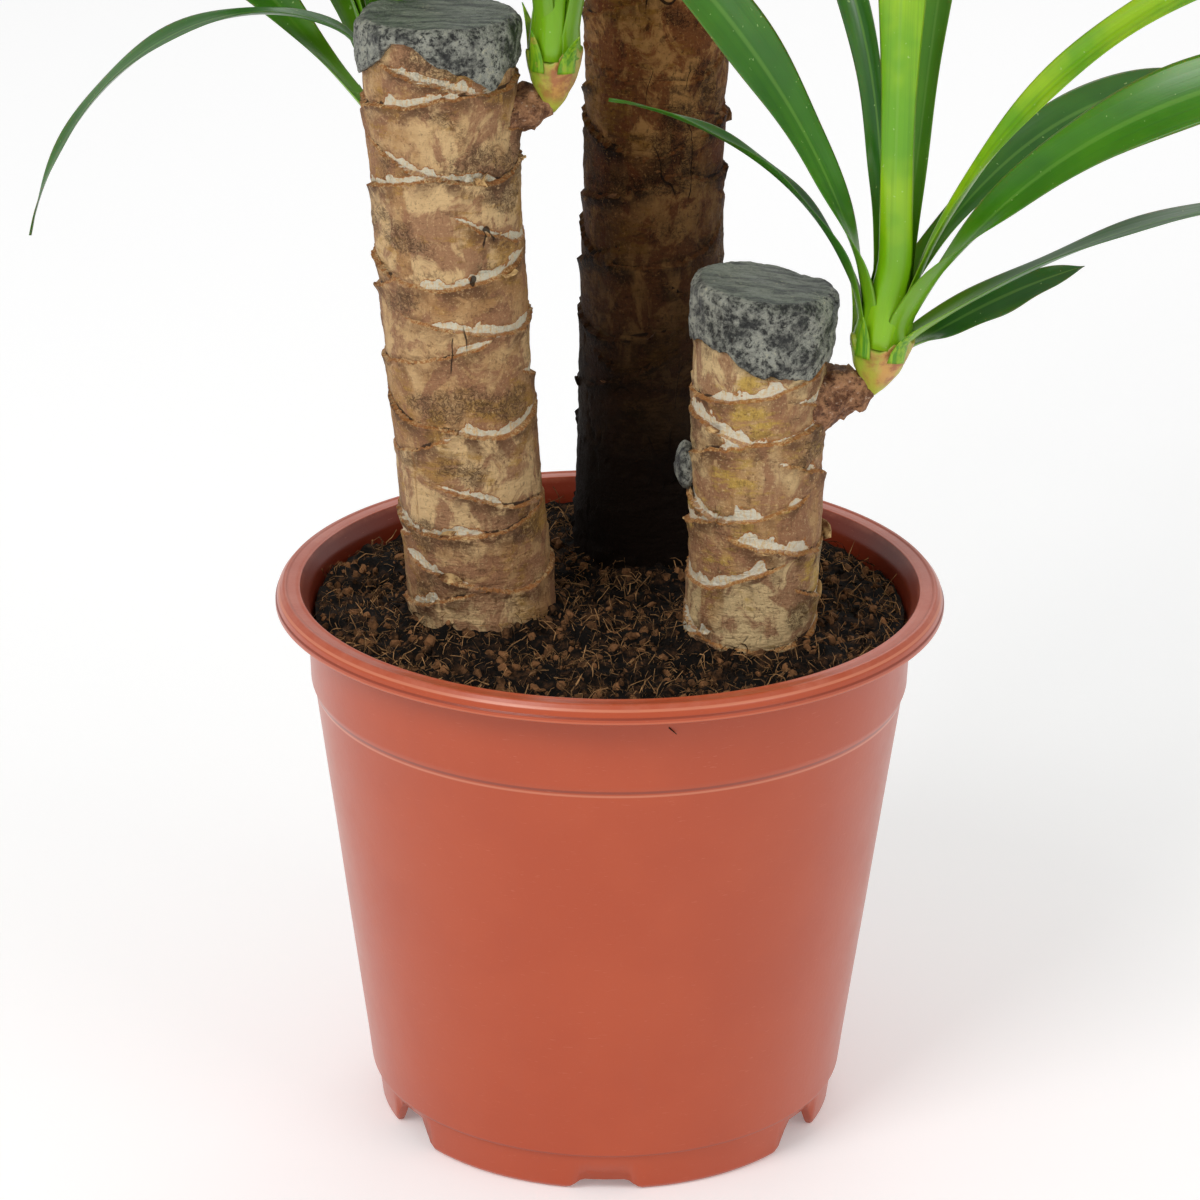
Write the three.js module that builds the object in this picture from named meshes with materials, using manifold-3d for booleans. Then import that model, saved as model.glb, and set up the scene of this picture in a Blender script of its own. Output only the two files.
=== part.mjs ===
// Potted yucca: three cut canes with waxed tops stand in a nursery pot and carry shoots of long leaves.
// Millimetres, +Z up. The origin is the centre of the pot's foot circle, on the ground.
// An azimuth is an angle in degrees about +Z: 0 points to the front (-Y) and 90 to the right (+X).
import * as THREE from "three";
import { mergeVertices } from "three/addons/utils/BufferGeometryUtils.js";
import Module from "manifold-3d";

const wasm = await Module();
wasm.setup();

const gap = 0.3; // clearance kept between neighbouring pieces

// Pot: a moulded tub with a rolled rim, a stepped collar and a notched foot ring.
const pot = {
  wall: 2,
  height: 201.7,
  lipRadius: 119.4,
  lipBottom: 195.2,
  ridgeRadius: 117.2,
  mouthRadius: 110.4,
  mouthHeight: 200.9,
  collarTopRadius: 108.2,
  collarRadius: 107.1,
  collarBottom: 167,
  bodyTopRadius: 105.6,
  bodyTop: 163,
  bodyBottomRadius: 86.8,
  bodyBottom: 15,
  footTopRadius: 84.8,
  footSideRadius: 83.2,
  footRadius: 82,
  floorBottom: 12,
  floorTop: 14,
  segments: 64,
};
const footNotches = {
  shallow: { azimuths: [0, 120, 240], height: 4.5, halfBottom: 12.9, halfTop: 8 },
  deep: { azimuths: [57.5, 180, 302.5], height: 11, halfBottom: 13.6, halfTop: 6.6 },
};
const drainHoles = { count: 6, radius: 5, circle: 55, sides: 16 };

// Soil: a plug of potting mix that fills the pot to just under its mouth, higher at the back.
const soil = { frontHeight: 190.3, backHeight: 193.6, unevenness: 0.9, rings: [96, 70, 36] };

// Canes: each axis is a list of [x, y, z, radius] stations from its buried foot to its sawn top.
const canes = {
  left: {
    colour: 0xa9825f,
    stations: [
      [-41, -7, 95, 27], [-44.8, -8, 190, 27.3], [-49.6, -8.5, 240, 26.2], [-53.8, -9, 290, 25.9],
      [-57, -9.5, 335, 26.2], [-59.2, -10, 372, 26.6], [-60.2, -10, 406, 26.4],
    ],
    slope: 0,
    cap: { thickness: 3.6, wall: 2, skirt: 14.5, ragged: 4, phase: 0.6 },
  },
  tall: {
    colour: 0x5a3a24,
    stations: [
      [12, 49, 75, 26.5], [13, 50, 190, 26.6], [14.1, 50, 298, 26], [14.5, 50, 379, 25.6],
      [14, 49, 470, 25.2], [12.5, 47, 560, 25], [10.5, 45, 640, 25], [9, 44, 716, 24.8],
    ],
    slope: 0.03,
    cap: { thickness: 3.6, wall: 2, skirt: 17, ragged: 5, phase: 2.1 },
  },
  right: {
    colour: 0x9c7650,
    stations: [
      [48, -26, 105, 24], [48.8, -27, 190, 24.2], [50.2, -27, 230, 23.6], [50.2, -27, 283, 23.8],
      [51.8, -27, 314.5, 23.6],
    ],
    slope: 0.11,
    cap: { thickness: 6.2, wall: 1.7, skirt: 17, ragged: 4, phase: 4.4 },
  },
};
const caneSides = 20;
const waxPlug = { cane: "right", centre: [26.4, -27, 254.5], radii: [4.4, 7, 8.5] };

// Shoots: a pale bulb-footed core on a short woody stub at the side of a cane.
// height and radius are the core's; lean tips it towards leanTo.
const shoots = {
  right: {
    cane: "right", base: [89.6, -27, 281], stubRadius: 7.5, stubDrop: 7, leanTo: 90, lean: 8, height: 56, radius: 8.9,
  },
  left_front: {
    cane: "left", base: [-21.3, -10, 375.4], stubRadius: 5.5, stubDrop: 5, leanTo: 60, lean: 2, height: 58, radius: 7.8,
  },
  left_back: {
    cane: "left", base: [-75, 25, 340], stubRadius: 6, stubDrop: 4, leanTo: -150, lean: 10, height: 56, radius: 8.5,
  },
  tall_front: {
    cane: "tall", base: [20, 5, 672], stubRadius: 6, stubDrop: 6, leanTo: 20, lean: 10, height: 64, radius: 9.5,
  },
  tall_right: {
    cane: "tall", base: [42, 70, 660], stubRadius: 6, stubDrop: 6, leanTo: 130, lean: 10, height: 64, radius: 9.5,
  },
  tall_left: {
    cane: "tall", base: [-29, 60, 684], stubRadius: 6, stubDrop: 6, leanTo: -110, lean: 10, height: 64, radius: 9.5,
  },
};
// Radius of a core along its height, both as shares of the full size.
const coreSides = 10;
const coreProfile = [[0, 0.12], [0.06, 0.45], [0.18, 0.82], [0.34, 1], [0.6, 0.86], [0.85, 0.55], [1, 0.3]];

// Leaves. rise is the share of the core's height where the leaf starts. The midrib starts at lean degrees
// from upright and bends to droop at its tip, late in its run where bend is high; sweep is how far it turns
// sideways. fold is the V between its halves and twist the turn of the blade about its midrib, in degrees.
// full is the share of its run where it is widest.
const leafDefaults = { sweep: 0, fold: 14, twist: 0, bend: 1, full: 0.6 };
const leaves = {
  right: [
    { azimuth: -88, rise: 0.5, lean: 4, droop: 80, bend: 0.7, length: 122, width: 14, fold: 30 },
    { azimuth: -78, rise: 0.6, lean: 4, droop: 50, bend: 0.55, length: 190, width: 38, twist: -60, full: 0.86 },
    { azimuth: -150, rise: 0.8, lean: 2, droop: 104, bend: 1.6, length: 190, width: 16, fold: 30, twist: -55 },
    { azimuth: -15, rise: 0.88, lean: 2, droop: -2, length: 225, width: 28, full: 0.72 },
    { azimuth: 140, rise: 0.82, lean: 5, droop: 18, length: 205, width: 16 },
    { azimuth: 72, rise: 0.68, lean: 18, droop: 86, length: 235, width: 25, fold: 28, twist: 40, full: 0.75 },
    { azimuth: 58, rise: 0.5, lean: 27, droop: 100, length: 240, width: 34, sweep: 36, twist: 45 },
    { azimuth: 125, rise: 0.7, lean: 36, droop: 122, length: 190, width: 22, twist: 40 },
    { azimuth: 84, rise: 0.36, lean: 50, droop: 100, length: 205, width: 22 },
    { azimuth: 112, rise: 0.26, lean: 62, droop: 80, length: 72, width: 18, twist: 40 },
  ],
  left_front: [
    { azimuth: 50, rise: 0.5, lean: 9, droop: 96, length: 270, width: 30 },
    { azimuth: 100, rise: 0.55, lean: 9, droop: 84, length: 280, width: 32 },
    { azimuth: -40, rise: 0.62, lean: 7, droop: 88, length: 265, width: 30 },
    { azimuth: 62, rise: 0.7, lean: 6, droop: 56, length: 290, width: 34 },
    { azimuth: -96, rise: 0.76, lean: 9, droop: 52, length: 260, width: 30 },
    { azimuth: -10, rise: 0.84, lean: 3, droop: 34, length: 280, width: 30 },
    { azimuth: 80, rise: 0.95, lean: 2, droop: 16, length: 235, width: 24 },
  ],
  left_back: [
    { azimuth: -78, rise: 0.72, lean: 5, droop: 168, bend: 0.5, length: 166, width: 22 },
    { azimuth: -110, rise: 0.42, lean: 42, droop: 56, length: 240, width: 44, twist: -45 },
    { azimuth: -160, rise: 0.4, lean: 38, droop: 108, length: 265, width: 36 },
    { azimuth: -130, rise: 0.6, lean: 28, droop: 72, length: 270, width: 36, twist: -20 },
    { azimuth: 160, rise: 0.5, lean: 24, droop: 92, length: 260, width: 34 },
    { azimuth: -84, rise: 0.8, lean: 12, droop: 58, length: 250, width: 30 },
    { azimuth: -170, rise: 0.8, lean: 8, droop: 40, length: 280, width: 32 },
    { azimuth: -120, rise: 0.95, lean: 4, droop: 20, length: 235, width: 24 },
  ],
  tall_front: [
    { azimuth: 14, rise: 0.34, lean: 56, droop: 122, length: 354, width: 40 },
    { azimuth: -30, rise: 0.42, lean: 44, droop: 116, length: 340, width: 38 },
    { azimuth: 58, rise: 0.46, lean: 40, droop: 110, length: 345, width: 40 },
    { azimuth: -6, rise: 0.62, lean: 24, droop: 82, length: 370, width: 42 },
    { azimuth: 38, rise: 0.72, lean: 16, droop: 62, length: 365, width: 40 },
    { azimuth: 12, rise: 0.9, lean: 4, droop: 26, length: 330, width: 34 },
  ],
  tall_right: [
    { azimuth: 130, rise: 0.34, lean: 54, droop: 120, length: 335, width: 40 },
    { azimuth: 88, rise: 0.42, lean: 46, droop: 112, length: 300, width: 38 },
    { azimuth: 172, rise: 0.46, lean: 42, droop: 114, length: 280, width: 36 },
    { azimuth: 112, rise: 0.62, lean: 26, droop: 86, length: 365, width: 42 },
    { azimuth: 152, rise: 0.72, lean: 18, droop: 66, length: 360, width: 40 },
    { azimuth: 130, rise: 0.9, lean: 5, droop: 30, length: 320, width: 34 },
  ],
  tall_left: [
    { azimuth: -108, rise: 0.34, lean: 55, droop: 118, length: 326, width: 40 },
    { azimuth: -68, rise: 0.42, lean: 42, droop: 112, length: 335, width: 38 },
    { azimuth: -150, rise: 0.46, lean: 44, droop: 116, length: 335, width: 38 },
    { azimuth: -92, rise: 0.62, lean: 22, droop: 80, length: 370, width: 42 },
    { azimuth: -130, rise: 0.72, lean: 17, droop: 64, length: 355, width: 40 },
    { azimuth: -110, rise: 0.9, lean: 4, droop: 24, length: 335, width: 34 },
  ],
};
const leafThickness = 1.7;
const leafNeck = 5; // width where a leaf leaves its core
const leafTip = 0.5;
const leafRings = 12;

const colours = { pot: 0xbb553a, soil: 0x3a2518, wax: 0x565b60, core: 0xa9c45a, leaf: 0x4f9a2e };

const radians = THREE.MathUtils.degToRad;
const towards = (azimuth) => new THREE.Vector3(Math.sin(radians(azimuth)), -Math.cos(radians(azimuth)), 0);

// Straight-line interpolation in a list of stations, on the value in column key.
function interpolate(stations, key, value) {
  const last = stations.length - 2;
  let i = 0;
  while (i < last && value > stations[i + 1][key]) i++;
  const [a, b] = [stations[i], stations[i + 1]];
  const share = (value - a[key]) / (b[key] - a[key]);
  return a.map((v, column) => v + share * (b[column] - v));
}

function solidOf(geometry) {
  const bare = new THREE.BufferGeometry().setAttribute("position", geometry.getAttribute("position"));
  bare.setIndex(geometry.index);
  const merged = mergeVertices(bare, 1e-3);
  return new wasm.Manifold(
    new wasm.Mesh({
      numProp: 3,
      vertProperties: new Float32Array(merged.attributes.position.array),
      triVerts: new Uint32Array(merged.index.array),
    }),
  );
}

function geometryOf(solid) {
  const mesh = solid.getMesh();
  const geometry = new THREE.BufferGeometry();
  geometry.setAttribute("position", new THREE.BufferAttribute(mesh.vertProperties, mesh.numProp));
  geometry.setIndex(new THREE.BufferAttribute(mesh.triVerts, 1));
  return geometry;
}

// A lathe about +Z through [radius, height] points, listed bottom to top along the outside.
function turned(points, segments) {
  const profile = points.map(([radius, height]) => new THREE.Vector2(radius, height));
  return new THREE.LatheGeometry(profile, segments).rotateX(Math.PI / 2);
}

function moveVertices(geometry, move) {
  const position = geometry.getAttribute("position");
  const point = new THREE.Vector3();
  for (let i = 0; i < position.count; i++) {
    point.fromBufferAttribute(position, i);
    move(point);
    position.setXYZ(i, point.x, point.y, point.z);
  }
  return geometry;
}

function roughened(colour, roughness) {
  return new THREE.MeshStandardMaterial({ color: colour, roughness, metalness: 0 });
}

const plant = new THREE.Group();

function add(name, geometry, material) {
  const mesh = new THREE.Mesh(geometry, material);
  mesh.name = name;
  plant.add(mesh);
}

function innerWall() {
  const { wall } = pot;
  return [
    [pot.mouthRadius, pot.mouthHeight],
    [pot.collarTopRadius - 0.6, pot.lipBottom + 0.6],
    [pot.collarTopRadius - wall, 188],
    [pot.collarRadius - wall, pot.collarBottom],
    [pot.bodyTopRadius - wall, pot.bodyTop],
    [pot.bodyBottomRadius - wall, pot.floorTop],
  ];
}

function potGeometry() {
  const { wall, lipRadius, lipBottom, height, ridgeRadius } = pot;
  const profile = [
    [0, pot.floorBottom],
    [pot.footTopRadius - wall, pot.floorBottom],
    [pot.footRadius - wall, 0],
    [pot.footRadius, 0],
    [pot.footSideRadius, 1.4],
    [pot.footTopRadius, pot.bodyBottom],
    [pot.bodyBottomRadius - 0.6, pot.bodyBottom],
    [pot.bodyBottomRadius, pot.bodyBottom + 0.8],
    [pot.bodyTopRadius, pot.bodyTop],
    [pot.collarRadius, pot.collarBottom],
    [pot.collarTopRadius, lipBottom + 1],
    [pot.collarTopRadius + 1.4, height - wall - 0.8],
    [ridgeRadius - 1.6, height - wall],
    [lipRadius - wall, lipBottom + 2],
    [lipRadius - wall, lipBottom],
    [lipRadius, lipBottom],
    [lipRadius, lipBottom + 1.6],
    [lipRadius - 1.1, height - 2.1],
    [ridgeRadius - 0.2, height - 0.3],
    [ridgeRadius - 1.6, height],
    [pot.mouthRadius + 1, height - 0.4],
    ...innerWall(),
    [0, pot.floorTop],
  ];
  let tub = solidOf(turned(profile, pot.segments));
  const reach = [pot.footRadius - 8, pot.footTopRadius + 1];
  for (const notch of Object.values(footNotches)) {
    for (const azimuth of notch.azimuths) {
      const shape = new THREE.Shape();
      shape.moveTo(-notch.halfBottom, -1);
      shape.lineTo(notch.halfBottom, -1);
      shape.lineTo(notch.halfTop, notch.height);
      shape.lineTo(-notch.halfTop, notch.height);
      const wedge = new THREE.ExtrudeGeometry(shape, { depth: reach[1] - reach[0], bevelEnabled: false });
      wedge.translate(0, 0, reach[0]);
      wedge.rotateX(Math.PI / 2);
      wedge.rotateZ(radians(azimuth));
      tub = tub.subtract(solidOf(wedge));
    }
  }
  for (let i = 0; i < drainHoles.count; i++) {
    const drill = new THREE.CylinderGeometry(drainHoles.radius, drainHoles.radius, 10, drainHoles.sides);
    drill.rotateX(Math.PI / 2);
    const place = towards((360 * (i + 0.5)) / drainHoles.count).multiplyScalar(drainHoles.circle);
    drill.translate(place.x, place.y, pot.floorTop - pot.wall / 2);
    tub = tub.subtract(solidOf(drill));
  }
  return geometryOf(tub);
}

// A cane between two heights, grown outwards and downwards by extra.
function caneTube({ stations, slope }, extra) {
  const foot = stations[0][2] - extra;
  const top = stations.at(-1)[2];
  const side = stations.map(([, , z, radius]) => [radius + extra, z]);
  side[0][1] = foot;
  const tube = turned([[0, foot], ...side, [0, top]], caneSides);
  return moveVertices(tube, (point) => {
    const [x, y] = interpolate(stations, 2, point.z);
    if (point.z > top - 1) point.z -= slope * point.x;
    point.x += x;
    point.y += y;
  });
}

function coreGeometry(shoot, extra) {
  const profile = coreProfile.map(([rise, share]) => [shoot.radius * share + extra, shoot.height * rise]);
  profile[0][1] -= extra;
  const core = turned([[0, profile[0][1]], ...profile, [0, shoot.height]], coreSides);
  const axis = coreAxis(shoot);
  core.applyQuaternion(new THREE.Quaternion().setFromUnitVectors(new THREE.Vector3(0, 0, 1), axis));
  return core.translate(...shoot.base);
}

function coreAxis(shoot) {
  const axis = towards(shoot.leanTo).multiplyScalar(Math.sin(radians(shoot.lean)));
  axis.z = Math.cos(radians(shoot.lean));
  return axis;
}

// The woody stub runs from inside the cane to the foot of the core.
function stubGeometry(shoot, stations) {
  const end = new THREE.Vector3(...shoot.base);
  end.z += shoot.radius * 0.4;
  const [x, y] = interpolate(stations, 2, end.z);
  const start = new THREE.Vector3(x, y, end.z - shoot.stubDrop);
  const run = new THREE.Vector3().subVectors(end, start);
  const stub = new THREE.CylinderGeometry(shoot.stubRadius * 0.8, shoot.stubRadius * 1.15, run.length(), 12);
  stub.translate(0, run.length() / 2, 0);
  stub.applyQuaternion(new THREE.Quaternion().setFromUnitVectors(new THREE.Vector3(0, 1, 0), run.normalize()));
  return stub.translate(start.x, start.y, start.z);
}

// The wax cap is a cup over the cane's sawn top with a ragged skirt.
function capGeometry(cane) {
  const { stations, slope, cap } = cane;
  const [, , top, radius] = stations.at(-1);
  const inner = radius + gap;
  const outer = inner + cap.wall;
  const lid = top + gap + cap.thickness;
  const bottom = top - cap.skirt;
  const profile = [
    [0, top + gap],
    [inner, top + gap],
    [inner, bottom + 8],
    [inner, bottom],
    [outer - 0.8, bottom],
    [outer, bottom + 8],
    [outer, lid - 2.2],
    [outer - 2, lid],
    [0, lid],
  ];
  const cup = turned(profile, caneSides);
  return moveVertices(cup, (point) => {
    const around = Math.atan2(point.y, point.x);
    const hang = Math.sin(2 * around + cap.phase) + 0.5 * Math.sin(5 * around + 3 * cap.phase);
    const depth = THREE.MathUtils.clamp((top - 6 - point.z) / (cap.skirt - 6), 0, 1);
    const [x, y, , local] = interpolate(stations, 2, point.z);
    const width = Math.hypot(point.x, point.y);
    const fitted = width > 0 ? (width + local - radius) / width : 1;
    point.z += (depth * cap.ragged * hang) / 1.5 - slope * point.x * (1 - depth);
    point.x = point.x * fitted + x;
    point.y = point.y * fitted + y;
  });
}

function soilGeometry() {
  const wall = innerWall().reverse();
  const side = [];
  for (const [radius, height] of wall) {
    if (height < soil.frontHeight - 6) side.push([radius - gap - 0.1, height + gap]);
  }
  const edge = interpolate(wall, 1, soil.frontHeight)[0] - gap - 0.4;
  const surface = [edge, ...soil.rings].map((radius) => [radius, soil.frontHeight]);
  const profile = [[0, side[0][1]], ...side, ...surface, [0, soil.frontHeight]];
  const plug = moveVertices(turned(profile, 40), (point) => {
    if (point.z < soil.frontHeight - 0.01) return;
    const back = (point.y + edge) / (2 * edge);
    const ripple = Math.sin(point.x / 13 + 1) * Math.cos(point.y / 11) + Math.sin((point.x + point.y) / 19);
    point.z += back * (soil.backHeight - soil.frontHeight) + (soil.unevenness * ripple) / 2;
  });
  let mix = solidOf(plug);
  for (const cane of Object.values(canes)) {
    mix = mix.subtract(solidOf(caneTube(cane, gap)));
  }
  return geometryOf(mix);
}

// Width of a leaf along its run: a narrow neck, full width past the middle, then a taper.
function leafWidth(leaf, s) {
  const opening = THREE.MathUtils.smoothstep(s, 0, leaf.full);
  const taper = Math.pow(1 - Math.pow(s, 2.2), 0.8);
  const blade = leafNeck + (leaf.width - leafNeck) * opening;
  return Math.max(blade * taper, leafTip);
}

function leafGeometry(leaf, shoot) {
  const start = new THREE.Vector3(...shoot.base).addScaledVector(coreAxis(shoot), leaf.rise * shoot.height);
  const share = interpolate(coreProfile, 0, leaf.rise)[1];
  const step = leaf.length / 60;
  const spine = [start.addScaledVector(towards(leaf.azimuth), shoot.radius * share + 2 * gap + leafThickness)];
  const frames = [];
  for (let i = 0; i <= 60; i++) {
    const s = i / 60;
    const heading = leaf.azimuth + leaf.sweep * s;
    const lean = radians(leaf.lean + (leaf.droop - leaf.lean) * Math.pow(s, leaf.bend));
    const along = towards(heading).multiplyScalar(Math.sin(lean));
    along.z = Math.cos(lean);
    const side = towards(heading + 90).applyAxisAngle(along, radians(leaf.twist * THREE.MathUtils.smoothstep(s, 0, 0.3)));
    const up = new THREE.Vector3().crossVectors(along, side);
    frames.push({ side, up });
    spine.push(spine[i].clone().addScaledVector(along, step));
  }
  // One turn of four corners per ring: midrib above, edge, midrib below, edge.
  const blade = new THREE.CylinderGeometry(1, 1, 1, 4, leafRings);
  return moveVertices(blade, (point) => {
    const s = point.y + 0.5;
    const i = Math.round(s * 60);
    const { side, up } = frames[i];
    const half = leafWidth(leaf, s) / 2;
    const fold = radians(leaf.fold * THREE.MathUtils.smoothstep(s, 0, 0.2));
    const thick = Math.min(leafThickness, half) / 2;
    const across = -point.x * half * Math.cos(fold);
    const lift = Math.abs(point.x) * half * Math.sin(fold) + point.z * thick;
    point.copy(spine[i]).addScaledVector(side, across).addScaledVector(up, lift);
  });
}

add("pot", potGeometry(), roughened(colours.pot, 0.45));
add("soil", soilGeometry(), roughened(colours.soil, 1));

const wax = roughened(colours.wax, 0.6);
const green = roughened(colours.core, 0.5);
const blade = roughened(colours.leaf, 0.4);

for (const [name, cane] of Object.entries(canes)) {
  let wood = solidOf(caneTube(cane, 0));
  for (const shoot of Object.values(shoots)) {
    if (canes[shoot.cane] !== cane) continue;
    wood = wood.add(solidOf(stubGeometry(shoot, cane.stations)));
    wood = wood.subtract(solidOf(coreGeometry(shoot, gap)));
  }
  add("cane_" + name, geometryOf(wood), roughened(cane.colour, 0.85));
  add("wax_cap_" + name, capGeometry(cane), wax);
}

const blob = new THREE.SphereGeometry(1, 12, 8).scale(...waxPlug.radii).translate(...waxPlug.centre);
const plugged = caneTube(canes[waxPlug.cane], gap);
add("wax_plug", geometryOf(solidOf(blob).subtract(solidOf(plugged))), wax);

for (const [name, shoot] of Object.entries(shoots)) {
  add("core_" + name, coreGeometry(shoot, 0), green);
  leaves[name].forEach((leaf, i) => {
    const full = { ...leafDefaults, ...leaf };
    add("leaf_" + name + "_" + (i + 1), leafGeometry(full, shoot), blade);
  });
}

export default plant;
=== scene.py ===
# Potted yucca: the finished look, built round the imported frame. Metres, +Z up, the frame's own origin.
import math
import bmesh
import bpy
import numpy as np
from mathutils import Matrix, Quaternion, Vector


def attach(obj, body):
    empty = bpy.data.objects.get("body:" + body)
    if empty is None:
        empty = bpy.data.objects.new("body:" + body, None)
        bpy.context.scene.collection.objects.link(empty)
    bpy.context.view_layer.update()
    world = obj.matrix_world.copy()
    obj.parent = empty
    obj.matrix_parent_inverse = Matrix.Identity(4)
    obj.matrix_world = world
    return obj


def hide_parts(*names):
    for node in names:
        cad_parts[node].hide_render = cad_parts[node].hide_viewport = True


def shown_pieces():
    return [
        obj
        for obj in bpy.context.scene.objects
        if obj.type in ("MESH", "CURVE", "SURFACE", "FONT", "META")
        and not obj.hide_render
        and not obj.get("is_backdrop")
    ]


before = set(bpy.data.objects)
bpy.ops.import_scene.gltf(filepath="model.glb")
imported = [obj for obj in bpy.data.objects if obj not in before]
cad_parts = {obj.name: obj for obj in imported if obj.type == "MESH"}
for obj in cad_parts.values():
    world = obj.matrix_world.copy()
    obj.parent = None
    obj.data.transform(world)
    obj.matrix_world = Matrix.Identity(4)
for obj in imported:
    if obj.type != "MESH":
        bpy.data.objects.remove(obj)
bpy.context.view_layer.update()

mm = 0.001
goldenAngle = math.radians(137.508)


def report(stage):
    print("yucca:", stage)


class Wire:
    # One output of a node tree. Sums on it add Math nodes, or Vector Math nodes where it is a vector.
    def __init__(self, graph, socket):
        self.graph, self.socket = graph, socket

    def isVector(self):
        return self.socket.type in ("VECTOR", "RGBA")

    def maths(self, operation, first, second=0.0):
        vectors = [isinstance(x, Wire) and x.isVector() for x in (first, second)]
        if not any(vectors):
            return self.graph.node("ShaderNodeMath", {"operation": operation}, {0: first, 1: second})
        if operation == "MULTIPLY" and not all(vectors):
            vector, factor = (first, second) if vectors[0] else (second, first)
            return self.graph.node(
                "ShaderNodeVectorMath", {"operation": "SCALE"}, {0: vector, "Scale": factor}
            )
        return self.graph.node("ShaderNodeVectorMath", {"operation": operation}, {0: first, 1: second})

    def __add__(self, other):
        return self.maths("ADD", self, other)

    def __radd__(self, other):
        return self.maths("ADD", other, self)

    def __sub__(self, other):
        return self.maths("SUBTRACT", self, other)

    def __rsub__(self, other):
        return self.maths("SUBTRACT", other, self)

    def __mul__(self, other):
        return self.maths("MULTIPLY", self, other)

    def __rmul__(self, other):
        return self.maths("MULTIPLY", other, self)

    def __truediv__(self, other):
        return self.maths("DIVIDE", self, other)

    def __pow__(self, other):
        return self.maths("POWER", self, other)

    def between(self, low, high, start=0.0, end=1.0):
        # start below low, end above high, and an even blend between them
        values = {"Value": self, "From Min": low, "From Max": high, "To Min": start, "To Max": end}
        return self.graph.node(
            "ShaderNodeMapRange", {"clamp": True, "interpolation_type": "SMOOTHSTEP"}, values
        )


class Graph:
    def __init__(self, tree):
        self.tree = tree

    def node(self, kind, settings=None, values=None, output=0):
        made = self.tree.nodes.new(kind)
        for key, value in (settings or {}).items():
            setattr(made, key, value)
        for key, value in (values or {}).items():
            if isinstance(value, Wire):
                self.tree.links.new(value.socket, made.inputs[key])
            else:
                made.inputs[key].default_value = value
        return Wire(self, made.outputs[output])


class Finish(Graph):
    # A material with a Principled shader, whose steady values are set on its own sockets.
    def __init__(self, name, steady):
        self.material = bpy.data.materials.new(name)
        self.material.use_nodes = True
        super().__init__(self.material.node_tree)
        self.shader = self.tree.nodes["Principled BSDF"]
        for key, value in steady.items():
            self.shader.inputs[key].default_value = value
        self.place = self.node("ShaderNodeTexCoord", output="Object")

    def feed(self, key, wire):
        self.tree.links.new(wire.socket, self.shader.inputs[key])

    def stretched(self, x, y, z, turn=(0, 0, 0)):
        return self.node(
            "ShaderNodeMapping", None, {"Vector": self.place, "Scale": (x, y, z), "Rotation": turn}
        )

    def noise(self, size, detail=3.0, roughness=0.55, where=None, distortion=0.0):
        values = {"Vector": where or self.place, "Scale": 1 / size, "Detail": detail}
        values.update({"Roughness": roughness, "Distortion": distortion})
        return self.node("ShaderNodeTexNoise", None, values)

    def mark(self, name, output="Fac"):
        return self.node("ShaderNodeAttribute", {"attribute_name": name}, None, output)

    def mix(self, first, second, share, blend="MIX"):
        return self.node(
            "ShaderNodeMix", {"data_type": "RGBA", "blend_type": blend}, {0: share, 6: first, 7: second}, 2
        )

    def bump(self, height, strength, distance):
        values = {"Height": height, "Strength": strength, "Distance": distance}
        self.feed("Normal", self.node("ShaderNodeBump", None, values))


def paint(red, green, blue):
    # a colour given as it looks on screen, 0 to 255
    return tuple(
        (c / 255 / 12.92) if c <= 10 else ((c / 255 + 0.055) / 1.055) ** 2.4
        for c in (red, green, blue)
    ) + (1,)


def smoothstep(value, low=0.0, high=1.0):
    t = np.clip((value - low) / (high - low), 0, 1)
    return t * t * (3 - 2 * t)


def latticeValue(cell, seed):
    n = (cell[..., 0] * 73856093) ^ (cell[..., 1] * 19349663) ^ (cell[..., 2] * 83492791) ^ (seed * 15485863)
    n = ((n ^ (n >> 13)) & 0xFFFFFFFF) * 1274126177
    return (((n ^ (n >> 16)) & 0xFFFF) / 32767.5) - 1


def noiseAt(points, size, seed, octaves=3, gain=0.5):
    # smooth noise between -1 and 1 at an array of points; size is one number or one for each axis
    total, weight, used = 0.0, 1.0, 0.0
    for octave in range(octaves):
        spot = points / np.asarray(size) * 2 ** octave + seed * 7.31 + octave * 3.7
        base = np.floor(spot).astype(np.int64)
        part = spot - base
        part = part * part * (3 - 2 * part)
        value = 0.0
        for corner in np.ndindex(2, 2, 2):
            share = np.prod(np.where(np.array(corner) == 1, part, 1 - part), axis=-1)
            value = value + share * latticeValue(base + np.array(corner), seed + octave * 31)
        total = total + value * weight
        used += weight
        weight *= gain
    return total / used * 1.6


def tubeFaces(rings, around):
    i, j = np.meshgrid(np.arange(rings - 1), np.arange(around), indexing="ij")
    a, b = i * around + j, i * around + (j + 1) % around
    return np.stack([a, b, b + around, a + around], -1).reshape(-1, 4).tolist()


def closedSkin(name, rings, first, last, marks=None):
    # A closed skin through rings (count, around, 3), ordered so that it faces out, with a pole at each end.
    count, around = rings.shape[:2]
    points = np.concatenate([rings.reshape(-1, 3), [first, last]])
    faces = tubeFaces(count, around)
    foot, top = count * around, count * around + 1
    edge = (count - 1) * around
    faces += [(foot, (j + 1) % around, j) for j in range(around)]
    faces += [(top, edge + j, edge + (j + 1) % around) for j in range(around)]
    mesh = bpy.data.meshes.new(name)
    mesh.from_pydata(points, [], faces)
    for key, value in (marks or {}).items():
        full = np.concatenate([np.asarray(value, np.float32).ravel(), [0, 0]]).astype(np.float32)
        mesh.attributes.new(key, "FLOAT", "POINT").data.foreach_set("value", full)
    mesh.shade_smooth()
    return mesh


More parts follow.
